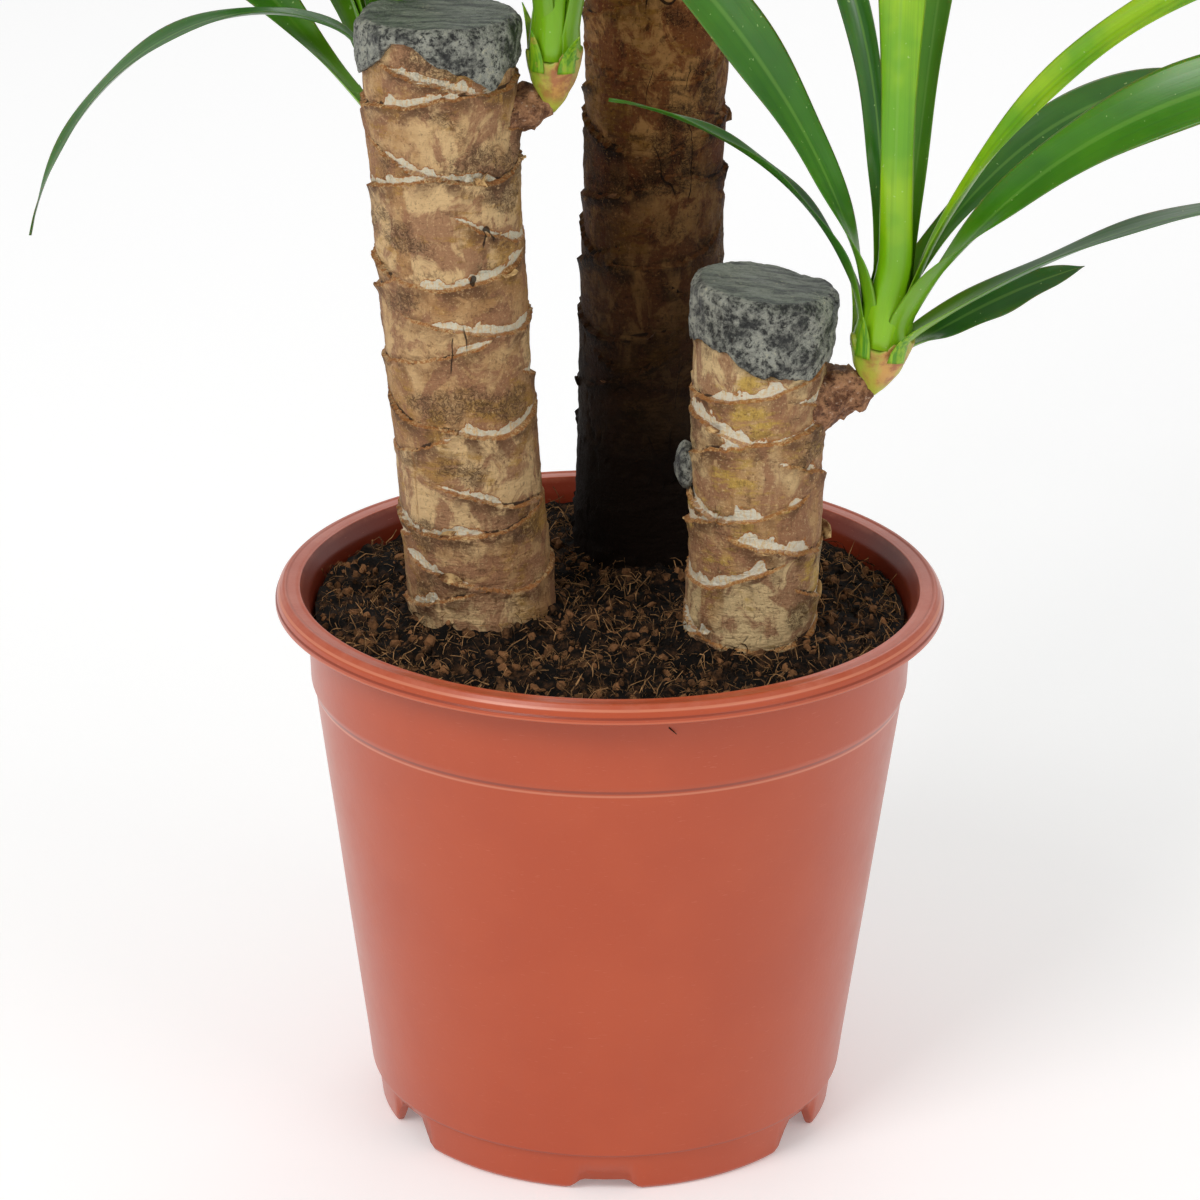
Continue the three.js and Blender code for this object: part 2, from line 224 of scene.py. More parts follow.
def addPiece(name, mesh, material, slot, *nodes):
    piece = bpy.data.objects.new(name, mesh)
    bpy.context.scene.collection.objects.link(piece)
    mesh.materials.clear()
    mesh.materials.append(material)
    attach(piece, "root")
    if nodes:
        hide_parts(*nodes)
    return piece


def treeNamed(name, inputs):
    group = bpy.data.node_groups.new(name, "GeometryNodeTree")
    group.interface.new_socket(name="Geometry", in_out="INPUT", socket_type="NodeSocketGeometry")
    for title, kind in inputs.items():
        group.interface.new_socket(name=title, in_out="INPUT", socket_type="NodeSocket" + kind)
    group.interface.new_socket(name="Geometry", in_out="OUTPUT", socket_type="NodeSocketGeometry")
    graph = Graph(group)
    entry = group.nodes.new("NodeGroupInput")
    graph.given = {socket.name: Wire(graph, socket) for socket in entry.outputs if socket.name}
    return graph


def closeTree(graph, geometry):
    # every tree ends with real geometry that carries its material
    solid = graph.node("GeometryNodeRealizeInstances", None, {"Geometry": geometry})
    finished = graph.node(
        "GeometryNodeSetMaterial", None, {"Geometry": solid, "Material": graph.given["Finish"]}
    )
    leave = graph.tree.nodes.new("NodeGroupOutput")
    graph.tree.links.new(finished.socket, leave.inputs[0])
    return graph.tree


def grow(name, source, tree, values):
    # runs a tree on a source mesh and hands back the plain mesh
    holder = bpy.data.objects.new(name + "_seed", source)
    bpy.context.scene.collection.objects.link(holder)
    modifier = holder.modifiers.new("grow", "NODES")
    modifier.node_group = tree
    for item in tree.interface.items_tree:
        if item.in_out == "INPUT" and item.name in values:
            modifier[item.identifier] = values[item.name]
    seen = bpy.context.evaluated_depsgraph_get()
    mesh = bpy.data.meshes.new_from_object(
        holder.evaluated_get(seen), preserve_all_data_layers=True, depsgraph=seen
    )
    holder.modifiers.remove(modifier)
    bpy.data.objects.remove(holder)
    mesh.name = name
    return mesh


view = {"place": (-0.0035, -1.3958, 0.7372), "down": 21.284, "roll": 0.535, "lens": 125.448}
studio = {
    "sky": 0.56,
    "key": {"place": (-1.5, -1.9, 2.4), "size": 1.3, "power": 40},
    "fill": {"place": (1.9, -1.6, 1.5), "size": 1.4, "power": 10},
    "back": {"place": (0.4, 2.2, 2.2), "size": 1.8, "power": 12},
}

scene = bpy.context.scene
camera = bpy.data.objects.new("camera", bpy.data.cameras.new("camera"))
scene.collection.objects.link(camera)
camera.data.lens = view["lens"]
camera.data.sensor_width = 36
camera.data.clip_start, camera.data.clip_end = 0.05, 50
camera.location = view["place"]
aim = Vector((0, math.cos(math.radians(view["down"])), -math.sin(math.radians(view["down"]))))
camera.rotation_mode = "QUATERNION"
camera.rotation_quaternion = aim.to_track_quat("-Z", "Y") @ Quaternion((0, 0, 1), math.radians(view["roll"]))
scene.camera = camera
scene.view_settings.view_transform = "Standard"

floorMesh = bpy.data.meshes.new("floor")
floorMesh.from_pydata(
    [(-6, -6, -0.0003), (6, -6, -0.0003), (6, 6, -0.0003), (-6, 6, -0.0003)], [], [(0, 1, 2, 3)]
)
floor = bpy.data.objects.new("floor", floorMesh)
scene.collection.objects.link(floor)
paper = Finish("pale paper", {
    "Roughness": 0.9, "Base Color": (0.93, 0.93, 0.93, 1), "Emission Color": (1, 1, 1, 1),
    "Emission Strength": 0.2,
})
floorMesh.materials.append(paper.material)
floor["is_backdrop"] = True

scene.world = bpy.data.worlds.new("studio")
scene.world.use_nodes = True
scene.world.node_tree.nodes["Background"].inputs["Color"].default_value = (1, 1, 1, 1)
scene.world.node_tree.nodes["Background"].inputs["Strength"].default_value = studio["sky"]
for title in ("key", "fill", "back"):
    lamp = bpy.data.lights.new(title, "AREA")
    lamp.size, lamp.energy = studio[title]["size"], studio[title]["power"]
    holder = bpy.data.objects.new(title, lamp)
    holder.location = studio[title]["place"]
    holder.rotation_mode = "QUATERNION"
    holder.rotation_quaternion = (Vector((0, 0, 0.3)) - Vector(holder.location)).to_track_quat("-Z", "Y")
    scene.collection.objects.link(holder)
report("camera, floor and light")


pot = {
    "around": 300,
    "height": 201.7,
    "lipRadius": 119.4,
    "lipBottom": 195.2,
    "ridgeRadius": 117.2,
    "mouthRadius": 110.4,
    "collarTop": 108.2,
    "collarRadius": 107.1,
    "collarBottom": 167,
    "bodyTopRadius": 105.6,
    "bodyTop": 163,
    "bodyBottomRadius": 86.8,
    "bodyBottom": 15,
    "footTop": 84.8,
    "footSide": 83.2,
    "footRadius": 82,
    "wall": 2,
    "shallow": {"azimuths": (0, 120, 240), "height": 4.5, "halfBottom": 12.9, "halfTop": 8},
    "deep": {"azimuths": (57.5, 180, 302.5), "height": 11, "halfBottom": 13.6, "halfTop": 6.6},
    "holes": {"count": 6, "radius": 5, "circle": 55},
    # painted shade and painted highlights in bands round the outside: height, half width, colour, strength
    "shadeAndHighlightBands": [
        (164.9, 0.7, (118, 48, 30), 0.65), (163.3, 0.6, (226, 150, 116), 0.4),
        (197.3, 0.5, (132, 48, 24), 0.7),
        (195.7, 0.5, (210, 116, 80), 0.5), (199.9, 0.5, (232, 150, 114), 0.5), (194, 1.8, (122, 46, 28), 0.6),
        (15.4, 0.6, (132, 56, 36), 0.5),
    ],
}


def roundedProfile(corners, steps=4):
    # corners are (radius, height, fillet); each fillet becomes a short even curve
    line = []
    for k, (radius, height, fillet) in enumerate(corners):
        here = np.array([radius, height], float)
        if fillet == 0 or k in (0, len(corners) - 1):
            line.append(here)
            continue
        before, after = np.array(corners[k - 1][:2], float), np.array(corners[k + 1][:2], float)
        start = here + (before - here) * min(0.48, fillet / np.linalg.norm(before - here))
        end = here + (after - here) * min(0.48, fillet / np.linalg.norm(after - here))
        for t in np.linspace(0, 1, steps):
            line.append((1 - t) ** 2 * start + 2 * t * (1 - t) * here + t * t * end)
    return line


def spacedOut(line, longest):
    # adds points so that no stretch of the profile is longer than the given length
    out = [line[0]]
    for a, b in zip(line, line[1:]):
        count = max(1, math.ceil(np.linalg.norm(b - a) / longest))
        out += [a + (b - a) * (k + 1) / count for k in range(count)]
    return np.array(out)


def footEdge(azimuth):
    # height of the foot ring's lower edge, cut by six notches
    lift = np.zeros_like(azimuth)
    for notch in (pot["shallow"], pot["deep"]):
        for centre in notch["azimuths"]:
            turn = (azimuth - math.radians(centre) + math.pi) % (2 * math.pi) - math.pi
            across = np.abs(turn) * pot["footRadius"]
            ramp = (notch["halfBottom"] - across) / (notch["halfBottom"] - notch["halfTop"])
            lift = np.maximum(lift, np.clip(ramp, 0, 1) * notch["height"])
    return lift


def potMesh():
    p, wall, top = pot, pot["wall"], pot["height"]
    outside = [
        (2, 12, 0), (p["footTop"] - wall - 0.6, 12, 1.2), (p["footRadius"] - wall, 0, 0.5),
        (p["footRadius"], 0, 0.4), (p["footSide"], 1.4, 0.5),
        (p["footTop"], p["bodyBottom"] - 0.8, 0.4), (p["footTop"] + 0.3, p["bodyBottom"], 0.3),
        (p["bodyBottomRadius"] - 0.4, p["bodyBottom"] + 0.1, 0.3),
        (p["bodyBottomRadius"], p["bodyBottom"] + 1, 0.6),
        (p["bodyTopRadius"], p["bodyTop"], 0.7), (p["collarRadius"] - 0.5, p["collarBottom"] - 1.4, 0.5),
        (p["collarRadius"], p["collarBottom"], 0.6), (p["collarTop"], p["lipBottom"] + 1, 2),
        (p["collarTop"] + 1.4, top - wall - 0.8, 1.2), (p["ridgeRadius"] - 1.6, top - wall, 1.2),
        (p["lipRadius"] - wall, p["lipBottom"] + 2, 1), (p["lipRadius"] - wall, p["lipBottom"], 0.5),
        (p["lipRadius"], p["lipBottom"], 0.5), (p["lipRadius"], p["lipBottom"] + 2, 0.4),
        (p["lipRadius"] - 0.5, p["lipBottom"] + 2.3, 0.3), (p["lipRadius"] - 0.8, top - 2.3, 0.6),
        (p["ridgeRadius"] + 0.1, top - 0.8, 0.6), (p["ridgeRadius"] - 0.5, top - 0.1, 0.5),
        (p["ridgeRadius"] - 1.5, top, 0.5), (p["ridgeRadius"] - 2.1, top - 0.5, 0.4),
        (p["mouthRadius"] + 1.6, top - 0.7, 0.5),
        (p["mouthRadius"] + 0.4, top - 0.3, 0.5), (p["mouthRadius"], top - 1, 0.5),
        (p["collarTop"] - 0.6, p["lipBottom"] + 0.6, 1.2), (p["collarTop"] - wall, 188, 2),
        (p["collarRadius"] - wall, p["collarBottom"], 1.8), (p["bodyTopRadius"] - wall, p["bodyTop"], 1.6),
        (p["bodyBottomRadius"] - wall, 14, 1.5), (2, 14, 0),
    ]
    line = spacedOut(roundedProfile(outside), 12)
    turn = np.linspace(0, 2 * math.pi, p["around"], endpoint=False)
    lift = footEdge((turn + math.pi / 2) % (2 * math.pi))
    radius = np.repeat(line[:, 0:1], len(turn), 1)
    height = np.repeat(line[:, 1:2], len(turn), 1)
    order = np.arange(len(line))
    ring = (order > 0) & (order < len(line) / 2) & (line[:, 0] > 75) & (line[:, 1] < 13.5)
    for k in np.where(ring)[0]:
        height[k] = np.maximum(height[k], lift)
    wander = noiseAt(np.stack([radius * np.cos(turn), radius * np.sin(turn), height], -1), 60, 5, 2)
    radius = radius + 0.12 * wander * (height > 20)
    rings = np.stack([radius * np.cos(turn), radius * np.sin(turn), height], -1) * mm
    # inside marks the wall within the mouth, which the finish paints darker as painted shade
    inside = (order > line[:, 1].argmax()) & (line[:, 0] < p["mouthRadius"] + 0.2)
    marks = {"inside": np.repeat(inside[:, None], len(turn), 1)}
    return closedSkin("pot_shell", rings, (0, 0, 12 * mm), (0, 0, 14 * mm), marks)


def drilled(piece):
    hole = pot["holes"]
    cutter = bmesh.new()
    for i in range(hole["count"]):
        turn = math.radians(360 * (i + 0.5) / hole["count"])
        made = bmesh.ops.create_cone(
            cutter, cap_ends=True, segments=24, depth=0.01,
            radius1=hole["radius"] * mm, radius2=hole["radius"] * mm,
        )
        shift = Vector((math.sin(turn) * hole["circle"], -math.cos(turn) * hole["circle"], 13)) * mm
        bmesh.ops.translate(cutter, verts=made["verts"], vec=shift)
    cutterMesh = bpy.data.meshes.new("drill")
    cutter.to_mesh(cutterMesh)
    cutter.free()
    drill = bpy.data.objects.new("drill", cutterMesh)
    scene.collection.objects.link(drill)
    cut = piece.modifiers.new("drill", "BOOLEAN")
    cut.operation, cut.solver, cut.object = "DIFFERENCE", "FAST", drill
    seen = bpy.context.evaluated_depsgraph_get()
    mesh = bpy.data.meshes.new_from_object(piece.evaluated_get(seen), depsgraph=seen)
    piece.modifiers.remove(cut)
    piece.data = mesh
    bpy.data.objects.remove(drill)
    return piece


def plasticFinish():
    f = Finish("terracotta plastic", {"IOR": 1.5, "Coat Weight": 0.2, "Coat Roughness": 0.18})
    height = f.node("ShaderNodeSeparateXYZ", None, {0: f.place}, "Z")
    cloud = f.noise(0.05, 4, 0.6)
    speck = f.noise(0.0009, 2, 0.7)
    streak = f.noise(0.012, 3, 0.6, f.stretched(1, 1, 0.06))
    body = f.mix(paint(177, 68, 26), paint(181, 72, 30), cloud.between(0.35, 0.65))
    body = f.mix(body, paint(172, 70, 38), streak.between(0.5, 0.8) * 0.2)
    body = f.mix(body, paint(206, 116, 82), speck.between(0.64, 0.8) * 0.2)
    # painted shade: the inside wall of the mouth is painted darker
    body = f.mix(body, paint(122, 40, 20), f.mark("inside") * 0.85)
    # painted shade and painted highlights at the steps of lip, rim, collar and foot
    for level, half, tone, share in pot["shadeAndHighlightBands"]:
        away = (height - level * mm) / (half * mm)
        body = f.mix(body, paint(*tone), (1 - away * away).between(0.0, 0.8) * (1 - f.mark("inside")) * share)
    dusty = height.between(0.1988, 0.2006) * f.noise(0.012, 4, 0.7).between(0.3, 0.75, 0.1, 0.6)
    body = f.mix(body, paint(196, 108, 82), dusty)
    scratch = f.noise(0.0012, 3, 0.5, f.stretched(0.3, 0.3, 3, (0.4, 0.2, 0.3))).between(0.66, 0.76)
    f.feed("Base Color", f.mix(body, paint(214, 134, 106), scratch * 0.3))
    f.feed("Roughness", (f.noise(0.03, 5, 0.7) * 0.5 + scratch * 0.3).between(0.1, 0.55, 0.3, 0.46))
    f.bump(f.noise(0.0016, 2, 0.6), 0.08, 0.0004)
    return f.material


potPiece = bpy.data.objects.new("pot_shell", potMesh())
scene.collection.objects.link(potPiece)
drilled(potPiece)
potPiece.data.materials.clear()
potPiece.data.materials.append(plasticFinish())
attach(potPiece, "root")
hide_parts("pot")
report("pot")


canes = {
    "left": {
        "stations": [
            (-41, -7, 95, 27), (-44.8, -8, 190, 27.3), (-49.6, -8.5, 240, 26.2), (-53.8, -9, 290, 25.9),
            (-57, -9.5, 335, 26.2), (-59.2, -10, 372, 26.6), (-60.2, -10, 406, 26.4),
        ],
        "slope": 0, "around": 220, "step": 0.8, "seed": 11, "pitch": 11.5, "rise": 12, "peel": 4.6,
        "covered": 14, "sound": 0.7,
    },
    "tall": {
        "stations": [
            (12, 49, 75, 26.5), (13, 50, 190, 26.6), (14.1, 50, 298, 26), (14.5, 50, 379, 25.6),
            (14, 49, 470, 25.2), (12.5, 47, 560, 25), (10.5, 45, 640, 25), (9, 44, 716, 24.8),
        ],
        "slope": 0.03, "around": 160, "step": 1.6, "seed": 23, "pitch": 8.6, "rise": 17, "peel": 3.4,
        "covered": 14, "sound": -0.25,
    },
    "right": {
        "stations": [
            (48, -26, 105, 24), (48.8, -27, 190, 24.2), (50.2, -27, 230, 23.6), (50.2, -27, 283, 23.8),
            (51.8, -27, 314.5, 23.6),
        ],
        "slope": 0.11, "around": 220, "step": 0.72, "seed": 37, "pitch": 8.6, "rise": 11, "peel": 5.6,
        "covered": 22, "sound": 0.36,
    },
}
scar = {"reach": 2.05, "lip": 1.5, "flare": 5, "dent": 0.55}


def caneAxis(cane, height):
    stations = np.array(cane["stations"], float)
    return [np.interp(height, stations[:, 2], stations[:, k]) for k in (0, 1, 3)]


def scarField(turn, height, cane):
    # For each point: height above the leaf scar's edge below it, height up to the next edge, the tone of its
    # plate, and how clear each of the two edges is, which fades where a scar ends.
    seed, pitch = cane["seed"], cane["pitch"]
    below, above = np.full(turn.shape, -1e3), np.full(turn.shape, 1e3)
    tone, clearLow, clearHigh = np.zeros(turn.shape), np.zeros(turn.shape), np.zeros(turn.shape)
    for i in range(int(height.min() / pitch) - 4, int(height.max() / pitch) + 3):
        luck = latticeValue(np.array([[i, seed, 3], [i, seed, 7], [i, seed, 9]]), seed)
        away = (turn - i * goldenAngle - 0.35 * luck[0] + math.pi) % (2 * math.pi) - math.pi
        share = np.abs(away) / (scar["reach"] * (1 + 0.15 * luck[2]))
        edge = i * pitch + 3.2 * luck[1] + cane["rise"] * share ** 1.6 + 1.8 * luck[2] * away
        fade = smoothstep(1 - share, 0, 0.3)
        lower = (share < 1) & (edge <= height) & (edge > below)
        below = np.where(lower, edge, below)
        tone = np.where(lower, tone + (luck[1] - tone) * fade, tone)
        clearLow = np.where(lower, fade, clearLow)
        upper = (share < 1) & (edge > height) & (edge < above)
        above, clearHigh = np.where(upper, edge, above), np.where(upper, fade, clearHigh)
    return height - below, above - height, tone, clearLow, clearHigh


def barkSkin(name, cane):
    base, top = cane["stations"][0][2], cane["stations"][-1][2]
    levels = np.concatenate([np.linspace(base, 181, 8), np.arange(182, top, cane["step"]), [top]])
    turn = np.linspace(0, 2 * math.pi, cane["around"], endpoint=False)
    turns, height = np.meshgrid(turn, levels)
    x, y, radius = caneAxis(cane, height)
    spot = np.stack([radius * np.cos(turns), radius * np.sin(turns), height], -1)
    seed = cane["seed"]
    ragged = noiseAt(spot, 4.2, seed + 1, 3)
    bent = height + 2.4 * noiseAt(spot, 30, seed, 2) + 0.6 * ragged
    up, down, tone, clearLow, clearHigh = scarField(turns + 0.1 * noiseAt(spot, 26, seed + 2, 2), bent, cane)
    shifted = spot + tone[..., None] * 9
    patches = noiseAt(shifted, (24, 24, 60), seed + 3, 2)
    peel = cane["peel"] * smoothstep(patches, 0.1, 0.55) * (0.75 + 0.6 * ragged) * clearLow
    strong = 0.35 + 0.65 * smoothstep(noiseAt(shifted, (17, 17, 30), seed + 4, 2), -0.45, 0.25)
    flake = smoothstep(noiseAt(spot, 5, seed + 12, 2), 0.15, 0.6)
    lip = (scar["lip"] * np.exp(-down / scar["flare"]) * strong + 0.6 * flake * np.exp(-down / 2)) * clearHigh
    dent = (scar["dent"] * np.exp(-up / 2) * strong + 0.3 * smoothstep(peel - up, 0, 0.6)) * clearLow
    bowed = spot + 1.6 * np.stack([noiseAt(spot, 11, seed + k, 2) for k in (13, 14, 15)], -1)
    crackField = noiseAt(bowed, (15, 15, 70), seed + 5, 2)
    crackOn = smoothstep(
        noiseAt(spot, 17, seed + 6, 2), cane["sound"], cane["sound"] + 0.3
    ) * smoothstep(9 - np.minimum(up, down), 0, 5)
    rough = smoothstep(noiseAt(spot, (19, 19, 12), seed + 8, 3), 0, 0.7)
    grain = noiseAt(spot, (1.6, 1.6, 6), seed + 7, 2)
    crease = noiseAt(spot, (9, 9, 2.2), seed + 16, 2)
    swell = lip - dent - 0.6 * np.exp(-(crackField / 0.025) ** 2) * crackOn + 0.08 * grain + 0.16 * crease
    swell = swell + 0.5 * rough * noiseAt(spot, 3, seed + 10, 3)
    swell = swell + 0.5 * noiseAt(spot, (15, 15, 20), seed + 9, 2)
    radius = radius + (swell - 0.75) * smoothstep(top - height, 0, 4)
    fall = np.where(height > top - 1, cane["slope"] * radius * np.cos(turns), 0)
    rings = np.stack([x + radius * np.cos(turns), y + radius * np.sin(turns), height - fall], -1) * mm
    ends = [
        np.array([cane["stations"][k][0], cane["stations"][k][1], z]) * mm
        for k, z in ((0, base), (-1, top))
    ]
    seen = (height > 191) & (height < top - cane["covered"])
    marks = {
        "tone": tone * 0.5 + 0.5, "up": np.minimum(up, 30), "down": np.minimum(down, 30),
        "near": np.minimum(up, down), "peel": peel,
        "clear": np.where(up < down, clearLow, clearHigh) * strong,
        "crack": crackField, "crackOn": crackOn, "rough": rough,
        "frayed": seen * clearHigh * smoothstep(1.6 - down, 0, 1) * smoothstep(flake, 0.5, 1),
    }
    return closedSkin(name, rings, ends[0], ends[1], marks)


def barkFinish(name, look):
    f = Finish(name, {"Specular IOR Level": look["shine"]})
    tone, up, down, near, peel = (f.mark(key) for key in ("tone", "up", "down", "near", "peel"))
    clear, rough = f.mark("clear"), f.mark("rough")
    height = f.node("ShaderNodeSeparateXYZ", None, {0: f.place}, "Z")
    tiny = f.noise(0.0011, 5, 0.75)
    fine = f.noise(0.0028, 5, 0.7, None, 0.8)
    stain = f.noise(0.008, 5, 0.65, None, 0.8)
    soft = f.noise(0.02, 4, 0.6, None, 0.5)
    run = f.noise(0.012, 5, 0.65, f.stretched(1, 1, 0.7), 0.8)
    grain = f.noise(0.0011, 3, 0.6, f.stretched(1, 1, 0.3), 0.5)
    crease = f.noise(0.004, 4, 0.7, f.stretched(0.5, 0.5, 2.2))
    body = f.mix(look["pale"], look["mid"], (tone * 0.4 + soft * 0.8 + stain * 0.3).between(0.55, 0.95))
    body = f.mix(body, look["rosy"], run.between(0.45, 0.56) * 0.85)
    body = f.mix(body, look["golden"], (crease * 0.4 + soft * 0.7).between(0.56, 0.68) * 0.8)
    body = f.mix(body, look["grey"], (rough * (0.4 + fine)).between(0.3, 0.9) * 0.4)
    body = f.mix(
        body, look["deep"], (1 - down / 9.0).between(0.0, 0.9) * stain.between(0.38, 0.54) * clear * 0.95
    )
    # painted shade: darker just above each scar edge, in the hollow behind the lip
    body = f.mix(body, look["deep"], (1 - up / 4.0).between(0.0, 1.0) * crease.between(0.42, 0.6) * 0.7)
    body = f.mix(body, look["deep"], (stain * 0.6 + fine * 0.4).between(0.55, 0.64) * 0.65)
    body = f.mix(body, look["pale"], tiny.between(0.55, 0.66) * 0.6)
    body = f.mix(body, look["deep"], (tiny * 0.5 + fine * 0.5).between(0.38, 0.45, 1.0, 0.0) * 0.6)
    body = f.mix(body, look["deep"], (grain * 0.6 + crease * 0.4).between(0.53, 0.66) * 0.5)
    hair = 1 - ((fine - 0.5) * 24.0 * (fine - 0.5) * 24.0).between(0.0, 0.5)
    body = f.mix(body, look["deep"], hair * rough.between(0.0, 0.7) * 0.8)
    torn = (peel - up + (fine - 0.5) * 3.4) * peel.between(0.6, 1.2)
    white = torn.between(0.0, 0.4)
    body = f.mix(
        body, f.mix(look["torn"], look["pale"], (grain * 0.5 + tiny * 0.5).between(0.46, 0.62)), white
    )
    rim = (1 - (torn - 0.1) * (torn - 0.1) * 9.0).between(0.0, 0.7) * peel.between(0.6, 1.2)
    line = (1 - near / (0.1 + stain * 1.3)).between(0.0, 0.6) * clear.between(0.1, 0.4)
    body = f.mix(body, look["rust"], (rim * 0.9 + line * fine.between(0.3, 0.45)).between(0.1, 0.9) * 0.8)
    # painted highlight: a pale line along each scar edge
    body = f.mix(body, look["edge"], line * tiny.between(0.48, 0.6) * run.between(0.4, 0.6, 1.0, 0.3))
    # painted shade: slot darkens the crevice just above each scar edge; split paints the cracks dark
    slot = (1 - up / (0.5 + stain * 1.9)).between(0.0, 0.5) * clear.between(0.3, 0.8) * (1 - white * 0.9)
    split = f.mark("crack") * 42.0
    split = (1 - split * split).between(0.0, 0.8) * f.mark("crackOn")
    body = f.mix(body, look["dark"], (slot * stain.between(0.42, 0.56) + split).between(0.1, 0.9) * 0.9)
    # painted shade: the tall cane darkens to shadePaint towards its foot, where it stands in shade
    if look["shade"]:
        body = f.mix(look["shadePaint"], body, (height + (stain - 0.5) * 0.05).between(*look["shade"]))
    f.feed("Base Color", body)
    f.feed("Roughness", (tone * 0.1 + fine * 0.3).between(0, 0.4, 0.55, 0.82))
    f.bump(grain * 0.3 + fine * 1.0 + tiny * 0.6 + crease * 1.1 + hair * -0.4 * rough, 1.0, 0.0012)
    return f.material


def flakeTree():
    # small curled slivers of bark along the edges where the surface is frayed
    g = treeNamed(
        "bark flakes", {"Density": "Float", "Longest": "Float", "Seed": "Int", "Finish": "Material"}
    )
    frayed = g.node("GeometryNodeInputNamedAttribute", {"data_type": "FLOAT"}, {"Name": "frayed"})
    scatter = g.node("GeometryNodeDistributePointsOnFaces", None, {
        "Mesh": g.given["Geometry"], "Density": g.given["Density"] * frayed, "Seed": g.given["Seed"],
    })
    outward = Wire(g, scatter.socket.node.outputs["Normal"])
    facing = g.node("FunctionNodeAlignRotationToVector", {"axis": "Z"}, {"Vector": outward})
    facing = g.node("FunctionNodeAlignRotationToVector", {"axis": "Y", "pivot_axis": "Z"}, {
        "Rotation": facing, "Vector": (0.0, 0.0, 1.0),
    })
    tilt = g.node(
        "FunctionNodeRandomValue", {"data_type": "FLOAT_VECTOR"},
        {0: (-0.3, -0.25, -0.7), 1: (0.6, 0.25, 0.7), "Seed": 2}
    )
    facing = g.node(
        "FunctionNodeRotateRotation", {"rotation_space": "LOCAL"}, {"Rotation": facing, "Rotate By": tilt}
    )
    size = g.node("FunctionNodeRandomValue", {"data_type": "FLOAT"}, {2: 0.25, 3: 1.0, "Seed": 4}, 1)
    size = g.given["Longest"] * size * size
    sliver = g.node("GeometryNodeMeshCube", None, {
        "Size": (1.0, 0.42, 0.05), "Vertices X": 5, "Vertices Y": 3, "Vertices Z": 2,
    })
    here = g.node("GeometryNodeInputPosition")
    across, rise = (g.node("ShaderNodeSeparateXYZ", None, {0: here}, k) for k in (0, 1))
    narrow = 1 - across * across * 3.4
    curled = g.node("ShaderNodeCombineXYZ", None, {
        0: 0.0, 1: rise * narrow - rise + 0.12, 2: (rise + 0.2) * (rise + 0.2) * 1.5 - across * across * 0.5,
    })
    sliver = g.node("GeometryNodeSetPosition", None, {"Geometry": sliver, "Offset": curled})
    placed = g.node("GeometryNodeInstanceOnPoints", None, {
        "Points": scatter, "Instance": sliver, "Rotation": facing, "Scale": g.node(
            "ShaderNodeCombineXYZ", None, {0: size, 1: size, 2: size}
        ),
    })
    return closeTree(g, placed)


def flakeFinish(name, dark, light):
    f = Finish(name, {"Specular IOR Level": 0.25, "Roughness": 0.8})
    tone = f.noise(0.006, 4, 0.7)
    f.feed("Base Color", f.mix(dark, light, tone.between(0.4, 0.62)))
    f.bump(f.noise(0.0008, 3, 0.6, f.stretched(1, 1, 0.2)), 0.4, 0.0004)
    return f.material


# edge is a painted highlight on scar edges; dark is painted shade in their crevices and the cracks' own
# colour
palePaint = {
    "pale": paint(226, 190, 138), "mid": paint(182, 136, 88), "rosy": paint(160, 112, 80),
    "golden": paint(184, 140, 66),
    "grey": paint(128, 102, 72), "deep": paint(106, 72, 46), "torn": paint(226, 218, 194),
    "rust": paint(170, 106, 50),
    "edge": paint(222, 188, 134), "dark": paint(42, 27, 16), "shade": None, "shine": 0.3,
}
khakiPaint = {
    "pale": paint(228, 198, 146), "mid": paint(184, 140, 92), "rosy": paint(160, 112, 80),
    "golden": paint(208, 172, 78),
    "grey": paint(136, 116, 70), "deep": paint(104, 70, 44), "torn": paint(232, 224, 202),
    "rust": paint(176, 112, 52),
    "edge": paint(222, 184, 126), "dark": paint(44, 28, 17), "shade": None, "shine": 0.3,
}
# tall cane: darker partly as painted shade, as it stands behind the others, and partly as its own darker bark
darkPaint = {
    "pale": paint(210, 154, 92), "mid": paint(120, 76, 38), "rosy": paint(124, 64, 30),
    "golden": paint(160, 110, 40),
    "grey": paint(76, 50, 26), "deep": paint(30, 16, 7), "torn": paint(166, 132, 88),
    "rust": paint(150, 88, 40),
    "edge": paint(176, 130, 84), "dark": paint(11, 6, 3), "shade": (0.22, 0.5),
    "shadePaint": paint(22, 12, 5),
    "shine": 0.1,
}
paleFlake = flakeFinish("pale bark flake", paint(112, 74, 44), paint(214, 178, 122))
# the tall cane's slivers are darker partly as painted shade too
darkFlake = flakeFinish("dark bark flake", paint(44, 26, 14), paint(120, 82, 50))
flakes = flakeTree()
for side, cane in canes.items():
    palette = {"left": palePaint, "tall": darkPaint, "right": khakiPaint}[side]
    slotName, flakeLook = ("bark_dark", darkFlake) if side == "tall" else ("bark", paleFlake)
    bark = barkSkin("bark_" + side, cane)
    slivers = grow("flakes_" + side, bark.copy(), flakes, {
        "Density": 60000.0, "Longest": 0.0095, "Seed": cane["seed"], "Finish": flakeLook,
    })
    addPiece("bark_" + side, bark, barkFinish(side + " cane bark", palette), slotName, "cane_" + side)
    addPiece("flakes_" + side, slivers, flakeLook, slotName)
    print("yucca:", side, len(slivers.polygons) // 44, "flakes")
report("canes")


